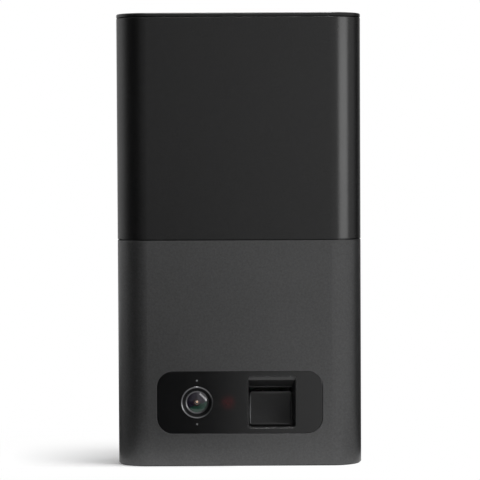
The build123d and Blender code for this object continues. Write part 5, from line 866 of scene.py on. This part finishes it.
class PETCAMERA_OT_rear(bpy.types.Operator):
    """Finish the rear panel, its sockets and the speaker, and lay cloth behind the grille"""

    bl_idname = "pet_camera.rear"
    bl_label = "Rear panel"
    bl_options = {"REGISTER", "UNDO"}

    def execute(self, context):
        s = settings("pet_camera_plastic")
        dress(moulded("panel_black", s.panel_colour, 0.55, grain=0.5 * MM, depth=0.035),
              "rear_panel", "base_plate")
        dress(moulded("speaker_black", SPEAKER_BLACK, 0.62, grain=0.4 * MM, depth=0.04), "speaker")
        dress(chip_black("component_black"), "power_inlet", "board_components", "position_sensor")
        centre = middle("speaker")
        low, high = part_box("speaker_gasket")
        reach = (high.x - low.x) / 2 - CLOTH_MARGIN
        cloth = woven_cloth("grille_cloth", s.cloth_threads, 2 * reach, centre)
        form = bmesh.new()
        outwards = [step / CLOTH_RINGS for step in range(CLOTH_RINGS + 1)]
        front = [(reach * out, high.y - CLOTH_SETBACK - CLOTH_SAG * out ** 2) for out in outwards]
        back = [(radius, y - CLOTH_THICKNESS) for radius, y in reversed(front)]
        turned(form, front + back, centre, steps=64)
        piece = piece_from(form, "grille_cloth", cloth, "housing")
        return {"FINISHED"}


class PETCAMERA_OT_base(bpy.types.Operator):
    """Finish the foot pad, gasket and bumper"""

    bl_idname = "pet_camera.base"
    bl_label = "Foot pad and rubber"
    bl_options = {"REGISTER", "UNDO"}

    def execute(self, context):
        s = settings("pet_camera_plastic")
        dress(rubber("foot_rubber", s.rubber_colour), "foot_pad", "speaker_gasket", "kicker_rest_pad",
              "microphones")
        return {"FINISHED"}


class PETCAMERA_OT_mechanism(bpy.types.Operator):
    """Finish the feeder, the kicker and their drives"""

    bl_idname = "pet_camera.mechanism"
    bl_label = "Feeder and kicker"
    bl_options = {"REGISTER", "UNDO"}

    def execute(self, context):
        s = settings("pet_camera_plastic")
        dress(moulded("housing_grey", s.housing_colour, 0.52, grain=0.5 * MM, edge_tone=1.6),
              "front_chassis", "feeder_housing", "launch_chamber", "side_cover", "top_deck")
        dress(moulded_acetal("acetal_white", ACETAL),
              "feeder_gear", "feeder_rotor", "kicker_paddle", "kicker_sector")
        dress(turned_metal("motor_can", MOTOR_STEEL, 0.30, pitch=0.4 * MM, stretch=(0.3, 3, 3)),
              "feeder_motor", "kicker_motor")
        dress(turned_metal("sheet_steel", SHEET_STEEL, 0.34, pitch=0.3 * MM, stretch=(1, 0.25, 4), axis="Z"),
              "motor_plate")
        dress(turned_metal("brass", BRASS, 0.28, pitch=0.25 * MM, stretch=(3, 1, 1)),
              "feeder_pinion", "kicker_pinion", "shaft_bushes", "mount_inserts")
        return {"FINISHED"}


class PETCAMERA_OT_small_metal(bpy.types.Operator):
    """Finish the screws, shafts and springs, and build the release button's springs"""

    bl_idname = "pet_camera.small_metal"
    bl_label = "Screws, shafts and springs"
    bl_options = {"REGISTER", "UNDO"}

    def execute(self, context):
        dress(turned_metal("steel", STEEL, 0.22, pitch=0.2 * MM, stretch=(0.4, 3, 3)),
              "feeder_shaft", "kicker_shaft", "board_screws", "mechanism_screws")
        spring_steel = turned_metal("spring_steel", SPRING_STEEL, 0.26, pitch=0.3 * MM)
        dress(spring_steel, "flap_spring", "kicker_spring", "latch_springs")
        dress(turned_metal("screw_black", BLACKED_STEEL, 0.38, pitch=0.25 * MM, stretch=(1, 3, 1), wear=0.8),
              "base_screws", "rear_panel_screws", "flap_pin")
        self.make_button_springs(spring_steel)
        return {"FINISHED"}

    def make_button_springs(self, finish):
        """The two springs behind the release button, copied into a piece of their own."""
        solid = NODES["latch_springs"]
        mesh = solid.data.copy()
        mesh.transform(solid.matrix_world)
        mesh.materials.clear()
        mesh.materials.append(finish)
        springs = bpy.data.objects.new("button_springs", mesh)
        bpy.context.scene.collection.objects.link(springs)
        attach(springs, "hopper")
        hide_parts("latch_springs")
        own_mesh(springs)


class PETCAMERA_OT_boards(bpy.types.Operator):
    """Finish the circuit boards and the ribbon between them"""

    bl_idname = "pet_camera.boards"
    bl_label = "Circuit boards"
    bl_options = {"REGISTER", "UNDO"}

    def execute(self, context):
        s = settings("pet_camera_plastic")
        dress(circuit_board("board_green", s.board_colour), "main_board", "camera_board")
        dress(ribbon_foil("ribbon_white"), "camera_ribbon")
        return {"FINISHED"}


# ---------------------------------------------------------------- studio
# Floor: side, and how white it is by place, as (place, share of plain white) across X and along Y
FLOOR_SIDE = 12
PAPER = (0.92, 0.92, 0.92)
WHITE_ACROSS = ((-0.200, 1.0), (-0.140, 0.45), (-0.108, 0.0), (-0.040, 0.0), (0.0, 1.0))
WHITE_ALONG = (
    (-0.040, 1.0), (-0.034, 0.6), (-0.028, 0.1), (-0.018, 0.0), (0.0, 0.25), (0.0157, 0.42),
    (0.048, 0.60), (0.090, 0.80), (0.140, 1.0))

# Softboxes: where each stands, what it faces, its width and its height
KEY_LAMP = ((1.04, -0.87, 0.26), (0, 0, 0.20), 0.84, 0.52)
OVERHEAD_LAMP = ((0.075, -0.10, 1.4), (0.075, -0.10, 0), 0.29, 0.26)
STRIP_LAMP = ((0.51, -1.13, 0.375), tuple(LENS_CENTRE), 0.13, 0.9)
STRIP_LEAN = math.radians(40)

# Surround: its radius and height, and its tones as (bearing from the front in degrees, tone)
SURROUND_RADIUS = 1.47
SURROUND_HEIGHT = 1.5
SURROUND_FOOT = 0.003
SURROUND_COLUMNS = 96
SURROUND_TONES = (
    (-172, 0.5), (-135, 0.55), (-120, 0.85), (-104, 1.0), (-92, 0.70), (-80, 0.30), (-68, 0.09),
    (-50, 0.04), (-34, 0.09), (-20, 0.36), (-8, 0.42), (-3, 0.47), (1, 0.84), (6, 0.95),
    (14, 0.84), (92, 0.82), (101, 0.42), (112, 0.08), (122, 0.07), (132, 0.13), (142, 0.24),
    (156, 0.50), (180, 0.5))

# Cards over the floor: name, near left corner, far right corner, tones as (X, tone), height
FLOOR_CARDS = (
    ("front_floor_card", (-0.65, -1.45), (0.65, -0.085),
     ((-0.063, 0.02), (-0.035, 0.05), (-0.018, 0.15), (0.005, 0.45), (0.025, 0.61), (0.065, 0.74)), 0.002),
    ("left_floor_card", (-1.45, -1.2), (-0.092, 0.6), ((-1.45, 0.02), (-0.092, 0.02)), 0.001),
    ("right_floor_card", (0.088, -1.2), (1.45, 0.0), ((0.088, 0.55), (1.45, 0.55)), 0.001),
    ("back_floor_card", (0.088, 0.001), (1.45, 1.4), ((0.088, 0.04), (1.45, 0.04)), 0.001),
)


def seen(graph):
    """1 for rays that look at the studio: straight, mirrored or through glass."""
    path = graph.node("LightPath").outputs
    total = path["Is Camera Ray"]
    for name in ("Is Glossy Ray", "Is Transmission Ray"):
        total = graph.math("ADD", total, path[name], use_clamp=True)
    return total


def white_room(room_light):
    """World: white where it is looked at, an even light elsewhere."""
    world = bpy.data.worlds.new("white_room")
    bpy.context.scene.world = world
    graph = Graph(world)
    strength = graph.remap(seen(graph), 0.0, 1.0, room_light, 1.0)
    background = graph.node("Background", {"Color": (1, 1, 1), "Strength": strength})
    graph.node("OutputWorld", {"Surface": background.outputs[0]})


def toned_ramp(graph, value, tones):
    """A tone that follows a value through points of (value, tone)."""
    low, high = tones[0][0], tones[-1][0]
    ramp = graph.node("ValToRGB", {0: graph.remap(value, low, high)})
    points = ramp.color_ramp.elements
    while len(points) < len(tones):
        points.new(0.5)
    for point, (position, tone) in zip(points, tones):
        point.position = (position - low) / (high - low)
        point.color = (tone, tone, tone, 1)
    return ramp.outputs["Color"]


def floor_finish(lift, across, along):
    """Matt white paper that keeps the shadow at the left of the object and is plain white further out."""
    material = bpy.data.materials.new("studio_paper")
    graph = Graph(material)
    looked_at = seen(graph)

    def white(strength):
        return graph.node("Emission", {"Strength": graph.times(strength, looked_at)}).outputs[0]

    axes = graph.split(graph.object_place())
    plain = graph.math("MAXIMUM", *(toned_ramp(graph, axes[slot], tones)
                                    for slot, tones in enumerate((across, along))))
    paper = graph.node("BsdfDiffuse", {"Color": PAPER})
    lifted = graph.node("AddShader", {0: paper.outputs[0], 1: white(lift)})
    blend = graph.node("MixShader", {0: graph.times(plain, looked_at), 1: lifted.outputs[0], 2: white(1.0)})
    graph.node("OutputMaterial", {"Surface": blend.outputs[0]})
    return material


def staged(form, name):
    """Turns a bmesh into a part of the studio."""
    mesh = bpy.data.meshes.new(name)
    form.to_mesh(mesh)
    form.free()
    made = bpy.data.objects.new(name, mesh)
    bpy.context.scene.collection.objects.link(made)
    return made


def sheet(name, width, depth, columns=24):
    """A level sheet of squares about its middle."""
    form = bmesh.new()
    bmesh.ops.create_grid(form, x_segments=columns, y_segments=columns, size=0.5)
    bmesh.ops.scale(form, vec=(width, depth, 1), verts=form.verts)
    return staged(form, name)


def facing(origin, target, roll=0.0):
    """Turn that points -Z from one place to another, with Y up, then leant about that line."""
    aim = (Vector(target) - Vector(origin)).to_track_quat("-Z", "Y")
    return (aim @ Quaternion((0, 0, 1), roll)).to_euler()


def softbox(name, place, target, width, height, power, roll=0.0):
    """An area lamp seen in gloss but not by the camera."""
    data = bpy.data.lights.new(name, "AREA")
    data.shape = "RECTANGLE"
    data.size = width
    data.size_y = height
    data.energy = power
    lamp = bpy.data.objects.new(name, data)
    bpy.context.scene.collection.objects.link(lamp)
    lamp.location = place
    lamp.rotation_euler = facing(place, target, roll)
    lamp.visible_camera = False
    return lamp


def share(lamp, state, *names):
    """Lights only these parts, with INCLUDE, or all but these, with EXCLUDE."""
    group = bpy.data.collections.new(f"{lamp.name}_parts")
    for name in names:
        group.objects.link(bpy.data.objects[name])
    for entry in group.collection_objects:
        entry.light_linking.link_state = state
    lamp.light_linking.receiver_collection = group


def toned_card(made, tones, by_bearing=False):
    """Makes a sheet a card that only gloss sees, toned across its width or by bearing from the front."""
    for kind in ("camera", "diffuse", "shadow", "transmission", "volume_scatter"):
        setattr(made, f"visible_{kind}", False)
    material = bpy.data.materials.new(made.name)
    graph = Graph(material)
    axes = graph.split(graph.object_place())
    place = axes[0]
    if by_bearing:
        place = graph.math("ARCTAN2", axes[0], graph.times(axes[1], -1))
    light = graph.node("Emission", {"Color": toned_ramp(graph, place, tones)})
    graph.node("OutputMaterial", {"Surface": light.outputs[0]})
    made.data.materials.append(material)


def floor_card(name, low, high, tones, lift):
    """A card that lies just over the floor, between two corners."""
    made = sheet(name, high[0] - low[0], high[1] - low[1], 2)
    middle_x = (low[0] + high[0]) / 2
    made.location = (middle_x, (low[1] + high[1]) / 2, lift)
    toned_card(made, [(x - middle_x, tone) for x, tone in tones])


def surround(name, radius, height, tones):
    """A tall curved card round the object, toned by its bearing from the front, in degrees."""
    form = bmesh.new()
    first, last = math.radians(tones[0][0]), math.radians(tones[-1][0])
    bearings = [first + (last - first) * step / SURROUND_COLUMNS for step in range(SURROUND_COLUMNS + 1)]
    foot, top = [[form.verts.new((radius * math.sin(bearing), -radius * math.cos(bearing), z))
                  for bearing in bearings] for z in (SURROUND_FOOT, height)]
    for step in range(SURROUND_COLUMNS):
        form.faces.new((foot[step], foot[step + 1], top[step + 1], top[step]))
    toned_card(staged(form, name), [(math.radians(bearing), tone) for bearing, tone in tones],
               by_bearing=True)


class PETCAMERA_OT_studio(bpy.types.Operator):
    """Lay the floor, set up the lamps and cards, and place the camera"""

    bl_idname = "pet_camera.studio"
    bl_label = "Studio"
    bl_options = {"REGISTER", "UNDO"}

    def execute(self, context):
        s = settings("pet_camera_studio")
        scene = context.scene
        scene.view_settings.view_transform = "Standard"
        white_room(s.room_light)
        floor = sheet("studio_floor", FLOOR_SIDE, FLOOR_SIDE)
        floor.data.materials.append(floor_finish(s.paper_lift, WHITE_ACROSS, WHITE_ALONG))
        share(softbox("key_softbox", *KEY_LAMP, s.key_power), "EXCLUDE", "body_shell", "lid")
        share(softbox("overhead_softbox", *OVERHEAD_LAMP, s.overhead_power), "EXCLUDE", "body_shell")
        share(softbox("lens_strip", *STRIP_LAMP, s.strip_power, STRIP_LEAN), "INCLUDE", "front_element")
        surround("studio_surround", SURROUND_RADIUS, SURROUND_HEIGHT, SURROUND_TONES)
        for card in FLOOR_CARDS:
            floor_card(*card)
        self.place_camera(scene, s)
        return {"FINISHED"}

    def place_camera(self, scene, s):
        data = bpy.data.cameras.new("studio_camera")
        data.lens = s.focal_length
        data.clip_start = 0.05
        camera = bpy.data.objects.new("studio_camera", data)
        scene.collection.objects.link(camera)
        camera.location = (s.camera_offset, CASING_FRONT_Y - s.camera_distance, s.camera_height)
        level = Matrix.Rotation(math.pi / 2 - s.camera_pitch, 4, "X")
        camera.rotation_euler = (level @ Matrix.Rotation(-s.camera_roll, 4, "Z")).to_euler()
        scene.camera = camera


# ---------------------------------------------------------------- panel
PIECES = (
    PETCAMERA_OT_shell,
    PETCAMERA_OT_hopper,
    PETCAMERA_OT_hopper_inside,
    PETCAMERA_OT_window,
    PETCAMERA_OT_camera_unit,
    PETCAMERA_OT_port,
    PETCAMERA_OT_rear,
    PETCAMERA_OT_base,
    PETCAMERA_OT_mechanism,
    PETCAMERA_OT_small_metal,
    PETCAMERA_OT_boards,
    PETCAMERA_OT_studio,
)


class PETCAMERA_PT_panel(bpy.types.Panel):
    """Lists the pieces and their settings"""

    bl_label = "Pet camera"
    bl_idname = "PETCAMERA_PT_panel"
    bl_space_type = "VIEW_3D"
    bl_region_type = "UI"
    bl_category = "Pet Camera"

    def draw(self, context):
        for operator in PIECES:
            self.layout.operator(operator.bl_idname)
        for name, group in SETTINGS.items():
            box = self.layout.box()
            for entry in group.__annotations__:
                box.prop(getattr(context.scene, name), entry)


def register():
    for group in SETTINGS.values():
        bpy.utils.register_class(group)
    for name, group in SETTINGS.items():
        setattr(bpy.types.Scene, name, PointerProperty(type=group))
    for operator in PIECES:
        bpy.utils.register_class(operator)
    bpy.utils.register_class(PETCAMERA_PT_panel)


def unregister():
    bpy.utils.unregister_class(PETCAMERA_PT_panel)
    for operator in reversed(PIECES):
        bpy.utils.unregister_class(operator)
    for name, group in SETTINGS.items():
        delattr(bpy.types.Scene, name)
        bpy.utils.unregister_class(group)


def main():
    register()
    for operator in PIECES:
        group, action = operator.bl_idname.split(".")
        getattr(getattr(bpy.ops, group), action)()


if __name__ == "__main__":
    main()
